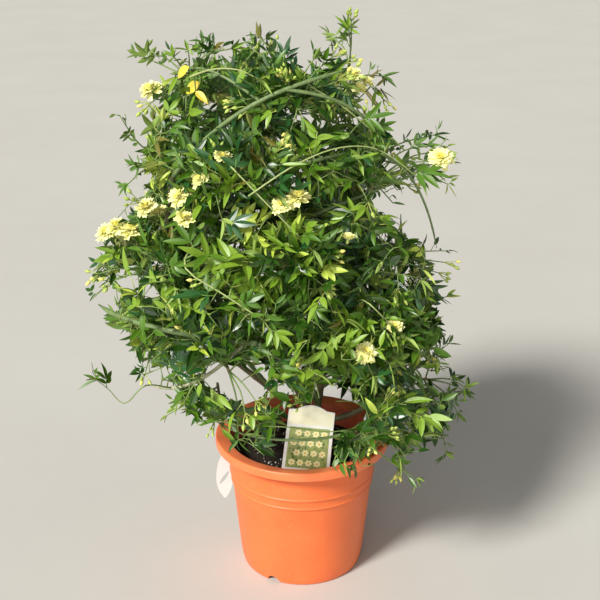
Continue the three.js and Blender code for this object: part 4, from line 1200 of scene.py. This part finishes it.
def make_masses():
    masses = []
    for name, height, count, first, share in RINGS:
        left, right = ends_at(OUTLINE, height)
        half = (right - left) / 2 * share
        for i in range(count):
            turn = math.radians(first + 360 / count * i)
            centre = np.array([(left + right) / 2 + half * math.sin(turn),
                               -DEPTH_SHARE * half * math.cos(turn), height])
            centre[2] += MASS["wobble"] * math.sin(MASS["wobble_turn"] * len(masses))
            centre[2] = max(centre[2], underside_at(centre[0]) + UNDERSIDE["room"])
            seed = MASS["first_seed"] + MASS["seed_step"] * len(masses)
            masses.append(Mass(f"foliage_{name}_{i + 1}", centre, seed))
    return masses


def tree_of(points):
    tree = kdtree.KDTree(len(points))
    for index, point in enumerate(points):
        tree.insert(point, index)
    tree.balance()
    return tree


class Plant:
    """What has grown so far, and whether there is room for more."""

    def __init__(self, limbs, masses):
        self.limbs, self.masses, self.veil, self.nodes = limbs, masses, Veil(), []
        self.centres = np.array([mass.centre for mass in masses])
        self.twigs, self.stalks, self.buds = Heap(), Heap(), Heap()
        self.leaves, self.petals = {tint: [] for tint in LEAF_FINISHES}, ([], [])
        self.cells, self.leafy = {}, {}
        samples = [(limb.at(t), limb.radius_at(t), limb.name) for limb in limbs.values()
                   for t in np.linspace(0, 1, max(3, int(limb.length / 3)))]
        self.radii = [radius for _, radius, _ in samples]
        self.tree = tree_of([point for point, _, _ in samples])
        self.on_canes = np.array([point for point, _, name in samples if name != "trunk"])
        self.high = self.on_canes[self.on_canes[:, 2] >= SOIL["height"] + GROWTH["stem_from"]]

    def owned(self, mass_index, points):
        """Does each of the points lie in the mass's own space, nearer its middle than any other's?"""
        gaps = np.linalg.norm(np.asarray(points, float)[:, None] - self.centres[None], axis=2)
        return gaps.argmin(axis=1) == mass_index

    def owner(self, p):
        return int(np.linalg.norm(self.centres - p, axis=1).argmin())

    def clear_of_limbs(self, p, room):
        _, index, distance = self.tree.find(p)
        return distance > self.radii[index] + room

    def start_of(self, mass_index):
        """The place on a cane, in the mass's own space, that lies nearest its middle."""
        own = self.high[self.owned(mass_index, self.high)]
        return own[np.linalg.norm(own - self.centres[mass_index], axis=1).argmin()]

    @staticmethod
    def near(cells, p, gap):
        """Has the shelf of cells a point closer than the gap?"""
        a, b, c = (int(math.floor(v / gap)) for v in p)
        around = ((i, j, k) for i in (a - 1, a, a + 1) for j in (b - 1, b, b + 1) for k in (c - 1, c, c + 1))
        return any((q[0] - p[0]) ** 2 + (q[1] - p[1]) ** 2 + (q[2] - p[2]) ** 2 < gap * gap
                   for cell in around for q in cells.get(cell, ()))

    def occupy(self, p):
        for cells, gap in ((self.cells, GROWTH["leaf_gap"]), (self.leafy, GROWTH["fill_gap"])):
            cells.setdefault(tuple(int(math.floor(v / gap)) for v in p), []).append(p)

    def add_twig(self, path, first, last, mark=0, sides=5):
        """Twigs are green, or have mark 1 for brown and 2 for pale; first and last are radii."""
        self.twigs.add(*tube(path, np.linspace(first, last, len(path)), sides), mark)
        self.nodes.extend(path[1:])


def leaflet_fits(plant, mass_index, root, direction, length, free=False):
    """Is there room for a leaflet? A free one, on a single shoot, may leave the crown's outline."""
    spots = np.array([root + direction * length * t for t in (0.35, 0.7, 1.0)])
    if hides_card(spots) or not near_crown(spots).all():
        return False
    if not free and not (inside_crown(spots[:1]).all() and in_sight(spots[:1], 3)
                         and in_sight(spots, -VEIL["overshoot"]) and not plant.veil.thins_edge(spots)):
        return False
    if mass_index is not None and not plant.owned(mass_index, spots[1:2])[0]:
        return False
    if not all(plant.clear_of_limbs(p, GROWTH["limb_gap"]) for p in spots[:2]):
        return False
    if plant.near(plant.cells, spots[0] + direction * length * 0.15, GROWTH["leaf_gap"]):
        return False
    return free or not plant.veil.rejects(spots)


def facing_up(rnd, at, direction):
    """A leaf's face looks up and out of the crown, as far as its direction lets it."""
    return square_to(0.75 * UP + 0.75 * outward_at(at) + jitter(rnd, 0.45), direction)


def grow_leaf(plant, rnd, mass_index, at, heading, side, tint, size=1.0, free=False, full=False):
    """A leaf of three or five leaflets on a stalk that leaves the twig sideways."""
    g, leaf = GROWTH, LEAFLET
    lean = rnd.uniform(*g["stalk_lean"])
    stalk_direction = unit(heading * math.cos(lean) + side * math.sin(lean) + 0.25 * UP
                           + 0.25 * outward_at(at))
    stalk = rnd.uniform(*g["stalk"]) * size
    end = at + stalk_direction * stalk
    face = facing_up(rnd, end, stalk_direction)
    across = np.cross(face, stalk_direction)
    length, width = rnd.uniform(*leaf["length"]) * size, rnd.uniform(*leaf["width"]) * size
    placed = 0
    for along, swing, share in LEAF_PLAN if full or rnd.random() < leaf["five"] else LEAF_PLAN[:3]:
        swing = swing * rnd.uniform(*leaf["swing"]) + rnd.gauss(0, leaf["swing_spread"])
        direction = unit(stalk_direction * math.cos(swing) + across * math.sin(swing) - leaf["droop"] * UP)
        root = at + stalk_direction * stalk * along
        own = length * share * rnd.uniform(*leaf["own"])
        if leaflet_fits(plant, mass_index, root, direction, own, free):
            normal = rotated(square_to(face, direction), direction, rnd.gauss(0, leaf["roll"]))
            plant.leaves[tint].append((root, direction, normal, own, width * (0.72 + 0.28 * share),
                                       rnd.uniform(*leaf["fold"]), rnd.uniform(*leaf["curl"]),
                                       rnd.gauss(0, leaf["sweep"])))
            plant.occupy(root + direction * own * 0.5)
            placed += 1
    if placed:
        path = [at - stalk_direction * 0.3, (at + end) / 2 - 0.4 * UP, end]
        plant.stalks.add(*tube(path, g["stalk_radii"], 4), int(tint in ("lime", "fresh", "old")))
    return placed


def grow_rosette(plant, rnd, mass_index, at, direction, tint, free=False, size=1.0):
    """Young narrow leaflets that open like a star at a shoot's tip."""
    placed, star = 0, ROSETTE
    for k in range(rnd.randint(*star["leaflets"])):
        side = spoke(direction, GROWTH["leaf_turn"] * k + rnd.random())
        leaf_direction = leaning(direction, side, rnd.uniform(*star["lean"]))
        length = rnd.uniform(*star["length"]) * size
        if leaflet_fits(plant, mass_index, at, leaf_direction, length, free):
            normal = square_to(unit(star["lift"] * UP - side), leaf_direction)
            plant.leaves[tint].append((at - direction * star["step"] * k, leaf_direction, normal, length,
                                       rnd.uniform(*star["width"]) * size, rnd.uniform(*star["fold"]),
                                       rnd.uniform(*star["curl"]), 0.0))
            placed += 1
    return placed


def bud_shape(rnd, centre, direction, size):
    """A slim pointed bud of six sides on its stalk's end."""
    side, sides, rings = sideways(direction), BUD["sides"], BUD["rings"]
    other = np.cross(direction, side)
    angles = np.arange(sides) * TAU / sides + rnd.random()
    points = [centre + direction * size * z + size * r * (np.cos(a) * side + np.sin(a) * other)
              for z, r in rings for a in angles]
    points += [centre + direction * size * z for z in BUD["ends"]]
    return np.array(points), caps(len(rings), sides), quads(len(rings), sides)


def grow_buds(plant, rnd, at, direction, count):
    """A loose cluster of buds on thin stalks."""
    for k in range(count):
        fan = spoke(direction, GROWTH["leaf_turn"] * k + rnd.random())
        away = leaning(direction, fan, 0.15 + 0.5 * rnd.random())
        end = at + away * rnd.uniform(*BUD["stalk"]) + np.array([0, 0, rnd.uniform(*BUD["rise"])])
        size = rnd.uniform(*BUD["size"])
        plant.stalks.add(*tube([at, (at + end) / 2 + fan * 0.8, end], BUD["stalk_radii"], 4), 1)
        plant.buds.add(*bud_shape(rnd, end, unit(end - at), size), int(rnd.random() < BUD["yellow"]))


def grow_blossom(plant, rnd, centre, facing, openness):
    """A double blossom: whorls of petals that stand steeper towards its heart, over a green cup."""
    b = BLOSSOM
    radius = lerp(*b["radius"], openness)
    for count, share, lean, mark in WHORLS:
        lean = lerp(b["shut_lean"], lean, openness * 0.75 + 0.25)
        start = rnd.random() * TAU
        for k in range(count):
            outward = spoke(facing, start + TAU * k / count + rnd.gauss(0, b["turn_spread"]))
            own = lean + rnd.gauss(0, b["lean_spread"])
            direction, normal = leaning(outward, facing, own), leaning(facing, -outward, own)
            length = radius * share * rnd.uniform(*b["length"])
            plant.petals[mark].append((centre + direction * 0.6, direction, normal, length,
                                       radius * rnd.uniform(*b["width"]), rnd.uniform(*b["fold"]),
                                       rnd.uniform(*b["curl"]), 0.0))
    plant.buds.add(*bud_shape(rnd, centre - facing * 1.6, facing, b["cup"]), 0)


def twig_path(plant, rnd, mass_index, start, direction, length):
    """A wandering path that bends up and out and stops where the mass's space ends."""
    g = GROWTH
    path, heading = [np.array(start, float)], unit(direction)
    for k in range(max(2, int(round(length / g["step"])))):
        heading = unit(heading + jitter(rnd, g["wander"]) + g["rise"] * UP + 0.05 * outward_at(path[-1]))
        ahead = path[-1] + heading * g["step"]
        if not inside_crown([ahead])[0] or not in_sight([ahead], g["twig_room"]):
            break
        if mass_index is not None and not plant.owned(mass_index, [ahead])[0]:
            break
        if k > 0 and not plant.clear_of_limbs(ahead, g["limb_gap"]):
            break
        path.append(ahead)
    return np.array(path)


def twig_to(rnd, start, goal, bow):
    """A twig that bows up on its way to its goal."""
    reach = np.linalg.norm(goal - start)
    middle = (start + goal) / 2 + UP * bow * reach + jitter(rnd, 0.05 * reach)
    return spaced(curve_through([start, middle, goal], 8), max(3, int(reach / GROWTH["step"])))


def tint_of(rnd, at):
    """A spray's tint: darker inside the crown, fresher towards the tips, with a few set places."""
    seen = view_crossing([at])[0]
    for x, z, radius, tint in TINT_PLACES:
        if at[1] < 0 and math.hypot(seen[0] - x, seen[2] - z) < radius:
            return tint
    outward = TINT_OUTWARD
    roll = min(rnd.random() + outward["push"] * (spread([at])[0] - outward["level"]), outward["most"])
    for share, tint in TINT_SHARES:
        if roll < share:
            return tint
    return "bronze" if rnd.random() < 0.2 else "fresh"


def dress_twig(plant, rnd, mass_index, path, first=0.2, tip="any", free=False, size=1.0):
    """Leaves in turn along the twig, and a fan of young leaves, buds or nothing at its tip."""
    g = GROWTH
    length = np.linalg.norm(np.diff(path, axis=0), axis=1).sum()
    count = max(1, int(length * (1 - first) / g["leaf_every"]))
    end = count * 4
    points = spaced(path, end)
    tint, angle, placed = tint_of(rnd, path[-1]), rnd.random() * TAU, 0
    for spot in np.linspace(int(first * end), end, count + 1).astype(int):
        heading = unit(points[min(spot + 1, end)] - points[max(spot - 1, 0)])
        side = spoke(heading, angle)
        angle += g["leaf_turn"]
        if side[2] < -0.5:
            side = -side
        own = size * rnd.uniform(0.8, 1.05) * (0.85 if spot == end else 1.0)
        placed += grow_leaf(plant, rnd, mass_index, points[spot], heading, side, tint, own, free)
    heading = unit(path[-1] - path[-2])
    roll = rnd.random()
    if tip == "buds" or (tip == "any" and roll < g["bud_tips"]):
        grow_buds(plant, rnd, path[-1], heading, rnd.randint(3, 6))
        placed += 1
    elif roll < g["star_tips"] or free:
        young = ("lime" if rnd.random() < YOUNG["lime"] else
                 "fresh" if rnd.random() < YOUNG["fresh"] else "bronze")
        if tint in ("old", "dark", "mid") and rnd.random() < YOUNG["like_spray"]:
            young = tint
        placed += grow_rosette(plant, rnd, mass_index, path[-1], heading, young, free, min(1, size * 1.25))
    return placed


def grow_to_goal(plant, rnd, mass_index, stem, kind, goal, openness):
    """A twig from near the stem's end to a blossom, a cluster of buds or one of the furthest points."""
    g, base = GROWTH, stem.at(rnd.uniform(*GROWTH["goal_from"]))
    bow, thickness, bare = GOAL_TWIGS[kind]
    if kind == "blossom":
        facing = unit(0.45 * outward_at(goal) + UP + jitter(rnd, 0.25))
        path = twig_to(rnd, base, goal - facing * 2.5, bow)
        plant.add_twig(path, thickness, g["goal_tip"])
        dress_twig(plant, rnd, mass_index, path[:max(3, int(len(path) * 0.8))], bare, tip="none")
        grow_blossom(plant, rnd, goal, facing, openness)
        return
    path = twig_to(rnd, base, goal, bow)
    plant.add_twig(path, thickness, g["goal_tip"])
    if kind == "leader":
        dress_twig(plant, rnd, mass_index, path, bare, free=True, size=g["leader_size"])
    else:
        dress_twig(plant, rnd, mass_index, path, bare, "buds")


def grow_twig(plant, rnd, mass_index, stem, index):
    """A twig out of the stem with side shoots, kept where it bears leaves."""
    g, outward = GROWTH, outward_at(plant.centres[mass_index])
    start = stem.at(lerp(g["lowest"], g["highest"], (index * g["spacing"]) % 1))
    across = rotated(np.array([1.0, 0, 0]), UP, g["turn"] * index + rnd.random())
    across = square_to(across, unit(stem.path[-1] - stem.path[0]))
    direction = unit(across + outward * g["outward"] * rnd.random()
                     + UP * (g["upward"] + g["upward_spread"] * (rnd.random() - 0.5)))
    path = twig_path(plant, rnd, mass_index, start, direction, lerp(*g["length"], rnd.random()))
    if len(path) < 3 or plant.veil.share_open(path) > g["most_open"]:
        return
    placed, heading = dress_twig(plant, rnd, mass_index, path), unit(path[-1] - path[0])
    for k in range(g["shoots"]):
        spot = path[int(lerp(1, len(path) - 1, (k + rnd.random()) / g["shoots"]))]
        side = spoke(heading, g["turn"] * k + rnd.random() * 2)
        shoot = twig_path(plant, rnd, mass_index, spot, unit(heading * 0.5 + side + 0.3 * UP),
                          lerp(*g["shoot_length"], rnd.random()))
        if len(shoot) > 2 and plant.veil.share_open(shoot) < g["most_open"]:
            more = dress_twig(plant, rnd, mass_index, shoot, 0.3)
            if more:
                plant.add_twig(shoot, g["shoot"], g["shoot_tip"], 0, 4)
                placed += more
    if placed:
        plant.add_twig(path, g["twig"], g["twig_tip"])


def grow_mass(plant, mass_index, goals):
    """A stem from the nearest cane, twigs to the mass's goals, and more twigs by rule."""
    g, mass = GROWTH, plant.masses[mass_index]
    rnd, start = random.Random(mass.seed), plant.start_of(mass_index)
    end = mass.centre + outward_at(mass.centre) * g["stem_past"] + UP * g["stem_lift"]
    path = curve_through([start, (start + end) / 2 + UP * g["stem_bow"], end], 10)
    plant.add_twig(path, g["stem"] * 0.8, g["stem_tip"] * 0.8, 1, 7)
    stem = Limb(mass.name, path, 0, 0)
    for goal in goals:
        grow_to_goal(plant, rnd, mass_index, stem, *goal)
    for index in range(g["twigs"]):
        grow_twig(plant, rnd, mass_index, stem, index)


def grow_spurs(plant):
    """Short side shoots that a cane bears itself, with a leaf or two each."""
    rnd, g = random.Random(SEED + 5), GROWTH
    for row in CANES:
        limb = plant.limbs[row[0]]
        for along in np.arange(g["spur_from"] * limb.length, limb.length, g["spur_every"]):
            t = along / limb.length
            at, heading = limb.at(t), limb.along(t)
            if at[2] < SOIL["height"] + g["spur_low"] or rnd.random() < g["spur_skip"]:
                continue
            side = spoke(heading, rnd.random() * TAU)
            if np.dot(side, outward_at(at)) < -0.2:
                side = -side
            start = at + side * limb.radius_at(t) * 0.6
            path = twig_path(plant, rnd, None, start, unit(side + 0.5 * heading + 0.4 * UP),
                             rnd.uniform(*g["spur_length"]))
            if len(path) < 2 or plant.veil.share_open(path) >= g["most_open"]:
                continue
            if dress_twig(plant, rnd, None, path, 0.3):
                plant.add_twig(path, g["spur"], g["spur_tip"])


def lead_path(plant, route):
    """A long shoot's path: out of the nearest cane, and through its places."""
    gaps = np.linalg.norm(plant.on_canes - np.array(route[0], float), axis=1)
    curve = curve_through([plant.on_canes[gaps.argmin()], *route], 12)
    return spaced(curve, max(4, int(len(curve) / 3)))


def grow_shoots(plant, paths):
    """Long pale shoots in front of the leaves, almost bare up to their tips."""
    rnd = random.Random(SEED + 7)
    for (pale, thickness, _), path in zip(SHOOTS, paths):
        plant.add_twig(path, thickness / 2, thickness / 4, 2 if pale else 0, 6)
        dress_twig(plant, rnd, None, path[-4:], 0.3, free=True, size=GROWTH["shoot_leaf_size"])


def twig_from_nearest(plant, rnd, tree, goal, reach, free=False):
    """A twig to the goal from the nearest twig or cane of the same mass, or nothing."""
    owner = plant.owner(goal)
    for point, _, distance in tree.find_n(goal, GROWTH["nearest"]):
        start = np.array(point)
        if reach[0] < distance < reach[1] and plant.owner(start) == owner:
            path = twig_to(rnd, start, goal, GROWTH["bow"])
            clear = all(plant.clear_of_limbs(p, GROWTH["limb_gap"]) for p in path[2:])
            clear = clear and plant.veil.share_open(path) < GROWTH["most_open"]
            if clear and (free or inside_crown(path).all()) and not hides_card(path):
                return path
    return None


def grow_set_leaves(plant, tree):
    """The leaves that stand out by their size or colour, on short twigs."""
    rnd = random.Random(SEED + 8)
    for *goal, tint, size in SET_LEAVES:
        path = twig_from_nearest(plant, rnd, tree, np.array(goal, float), (3, 90), free=True)
        if path is None:
            continue
        plant.add_twig(path, 0.9, 0.6)
        heading = unit(path[-1] - path[-2])
        for turn in (-1, 1):
            side = spoke(heading, turn * 0.5) * turn
            if tint != "old":
                grow_leaf(plant, rnd, None, path[-1], heading, side, tint, size, free=True, full=size > 1.1)
            elif turn == 1:
                direction, length = unit(side + 0.3 * heading - 0.2 * UP), OLD_LEAF["length"] * size
                plant.leaves[tint].append((path[-1], direction, facing_up(rnd, path[-1], direction), length,
                                           length * OLD_LEAF["width"], *OLD_LEAF["fold_curl_sweep"]))


def fill_gaps(plant):
    """More twigs wherever the crown is still thin, each out of the nearest twig of the same mass."""
    g, rnd = GROWTH, random.Random(SEED + 9)
    low, high = (np.array(corner) for corner in FILL_BOX)
    for _ in range(g["fill_rounds"]):
        tree = tree_of([*plant.high, *plant.nodes])
        for _ in range(g["fill_tries"]):
            goal = np.array([lerp(low[k], high[k], rnd.random()) for k in range(3)])
            if spread([goal])[0] < g["fill_from"] or not inside_crown([goal])[0] or not in_sight([goal]):
                continue
            if plant.near(plant.leafy, goal, g["fill_gap"]) or plant.veil.rejects(goal[None]):
                continue
            path = twig_from_nearest(plant, rnd, tree, goal, g["fill_reach"])
            if path is not None and dress_twig(plant, rnd, plant.owner(goal), path, 0.35):
                plant.add_twig(path, g["shoot"] * g["fill_thick"], g["shoot_tip"], 0, 4)


def leaflet_pattern(stations=5):
    """A leaflet's corners in shares of length and half width, with its middle line first, and its faces."""
    xs = [(k + 1) / (stations + 1) for k in range(stations)]
    outline = [math.sin(math.pi * x ** 0.82) ** 0.85 * (1 - 0.12 * x) for x in xs]
    rows = [(x, 0.0) for x in (0.0, *xs, 1.0)]
    rows += [(x, side * w) for side in (1, -1) for x, w in zip(xs, outline)]
    left, right = stations + 2, 2 * stations + 2
    threes = [(0, 1, left), (stations, stations + 1, left + stations - 1),
              (0, right, 1), (stations, right + stations - 1, stations + 1)]
    fours = []
    for k in range(1, stations):
        fours.append((k, k + 1, left + k, left + k - 1))
        fours.append((k, right + k - 1, right + k, k + 1))
    return np.array(rows), np.array(threes), np.array(fours), stations + 2


def petal_pattern():
    """A broad petal with a shallow notch in its outer edge."""
    rows = []
    for x, w in ((0.0, 0.22), (0.35, 0.75), (0.7, 1.0), (1.0, 0.72)):
        for s in (-1.0, -0.5, 0.0, 0.5, 1.0):
            dip = 0.07 * (x == 1.0) * (1 - abs(s)) - 0.05 * (x == 1.0) * abs(s)
            rows.append((x - dip, s * w))
    corners = [r * 5 + c for r in range(3) for c in range(4)]
    fours = [(i, i + 5, i + 6, i + 1) for i in corners]
    return np.array(rows), np.zeros((0, 3), int), np.array(fours), 5


def blades(rows, pattern, wave=0.0):
    """All leaflets of one tint as points and faces; each row is root, direction, normal and its measures."""
    shape, threes, fours, _ = pattern
    roots, directions, normals = (np.array([row[k] for row in rows]) for k in range(3))
    length, width, fold, curl, sweep = (np.array([row[k] for row in rows])[:, None] for k in range(3, 8))
    sides = np.cross(normals, directions)
    x, w = shape[:, 0][None], shape[:, 1][None]
    across = w * width / 2 + sweep * length * x * x
    height = np.abs(w) * fold * width / 2 - curl * length * x * x + wave * np.sin(9 * x + 3 * w) * width
    points = (roots[:, None] + (x * length)[..., None] * directions[:, None]
              + across[..., None] * sides[:, None] + height[..., None] * normals[:, None])
    first = (np.arange(len(rows)) * len(shape))[:, None, None]
    return points.reshape(-1, 3), (threes[None] + first).reshape(-1, 3), (fours[None] + first).reshape(-1, 4)


def crease(piece, pattern):
    """Marks the edges along each leaflet's middle as sharp, so that its two halves catch light apart."""
    mesh, per_leaf, midrib = piece.data, len(pattern[0]), pattern[3]
    ends = np.empty(len(mesh.edges) * 2, np.int64)
    mesh.edges.foreach_get("vertices", ends)
    sharp = (ends.reshape(-1, 2) % per_leaf < midrib).all(axis=1)
    attribute = mesh.attributes.get("sharp_edge") or mesh.attributes.new("sharp_edge", "BOOLEAN", "EDGE")
    attribute.data.foreach_set("value", sharp)


def grown_plant(limbs):
    """The whole plant: shoots, masses, spurs, set leaves and fill, in that order."""
    plant = Plant(limbs, make_masses())
    goals = [[] for _ in plant.masses]
    for kind, rows in (("blossom", BLOSSOMS), ("buds", BUDS), ("leader", LEADERS)):
        for x, y, z, *openness in rows:
            goal = np.array([x, y, z], float)
            goals[plant.owner(goal)].append((kind, goal, *(openness or [1.0])))
    shoots = [lead_path(plant, route) for _, _, route in SHOOTS]
    for name, share in VEIL["canes"].items():
        plant.veil.add(spaced(limbs[name].path, int(limbs[name].length / 5)), VEIL["cell"], share)
    for path in shoots:
        plant.veil.add(spaced(path, 24), VEIL["cell"], VEIL["shoots"])
    plant.veil.add(np.array([row[:3] for row in BLOSSOMS], float), VEIL["blossom_room"], VEIL["blossoms"])
    plant.veil.close()
    grow_shoots(plant, shoots)
    for index, own_goals in enumerate(goals):
        grow_mass(plant, index, own_goals)
    grow_spurs(plant)
    grow_set_leaves(plant, tree_of(plant.nodes))
    fill_gaps(plant)
    return plant


def add_twigs(plant):
    green = streaked("twig_green", (110, 138, 70), (134, 150, 88), 260, 0.5, 0.55, 0.2)
    brown = streaked("twig_brown", (112, 104, 66), (134, 124, 84), 260, 0.5, 0.65, 0.4)
    pale = streaked("twig_pale", (172, 184, 120), (148, 164, 98), 260, 0.5, 0.5, 0.2)
    names = [mass.name for mass in plant.masses]
    keep(plant.twigs.build("twigs", [green, brown, pale]), "cane", *names)


def add_leaves(plant):
    green = mottled("stalk_green", (104, 142, 58), (132, 160, 80), 90, 0.7, 0.5)
    lime = mottled("stalk_lime", (172, 188, 88), (190, 200, 110), 90, 0.7, 0.5)
    keep(plant.stalks.build("leaf_stalks", [green, lime]), "foliage")
    pattern = leaflet_pattern()
    for tint, finish in LEAF_FINISHES.items():
        heap = Heap()
        heap.add(*blades(plant.leaves[tint], pattern))
        piece = heap.build(f"leaves_{tint}", [leaf_material(f"leaf_{tint}", *finish)])
        crease(piece, pattern)
        keep(piece, "foliage")


def add_flowers(plant):
    green = mottled("bud_green", (164, 186, 82), (190, 204, 108), 200, 0.7, 0.5)
    yellow = mottled("bud_yellow", (226, 218, 110), (236, 226, 140), 200, 0.7, 0.5)
    keep(plant.buds.build("buds", [green, yellow]), "blossom")
    heap, pattern = Heap(), petal_pattern()
    for mark, rows in enumerate(plant.petals):
        heap.add(*blades(rows, pattern, wave=0.055), mark)
    pale = mottled("petal_pale", (255, 254, 188), (255, 250, 156), 120, 0.7, 0.6, Sheen_Weight=0.2)
    deep = mottled("petal_deep", (255, 248, 148), (255, 242, 120), 120, 0.7, 0.6, Sheen_Weight=0.2)
    keep(heap.build("petals", [pale, deep]), "blossom")


# Floor, sky and lights

def add_floor():
    """A wide round floor, just under the pot."""
    points, fours = lathe([(0, -0.3), (300, -0.3), (1500, -0.3), (14000, -0.3)], 96)
    paint = mottled("floor_paint", (200, 198, 192), (195, 192, 186), 3, 0.6, 0.7)
    closed_piece("floor", [paint], points, fours=fours)


def add_lamp(name, towards, energy, softness, colour):
    """Even light from far away; softness is the width of its disc in degrees."""
    data = bpy.data.lights.new(name, "SUN")
    data.energy, data.angle, data.color = energy, math.radians(softness), colour
    light = new_object(name, data)
    light.rotation_euler = (-Vector(towards)).to_track_quat("-Z", "Y").to_euler()


def add_sky(strength=0.3):
    world = bpy.data.worlds.new("studio")
    world.use_nodes = True
    background = world.node_tree.nodes["Background"]
    background.inputs["Color"].default_value = srgb(238, 238, 236)
    background.inputs["Strength"].default_value = strength
    bpy.context.scene.world = world


add_camera()
add_sky()
add_floor()
add_lamp("key_light", (-0.8, -0.9, 1.0), energy=4.35, softness=14, colour=(1.0, 0.98, 0.93))
add_lamp("front_light", (-0.3, -1.9, 0.4), energy=1.0, softness=45, colour=(1.0, 0.99, 0.96))
bpy.context.scene.view_settings.view_transform = "Standard"

add_pot()
add_soil()
add_crumbs()
add_card()
add_print()
add_tag()
cane_limbs = make_limbs()
add_trunk(cane_limbs["trunk"])
add_canes(cane_limbs)
rose = grown_plant(cane_limbs)
add_twigs(rose)
add_leaves(rose)
add_flowers(rose)
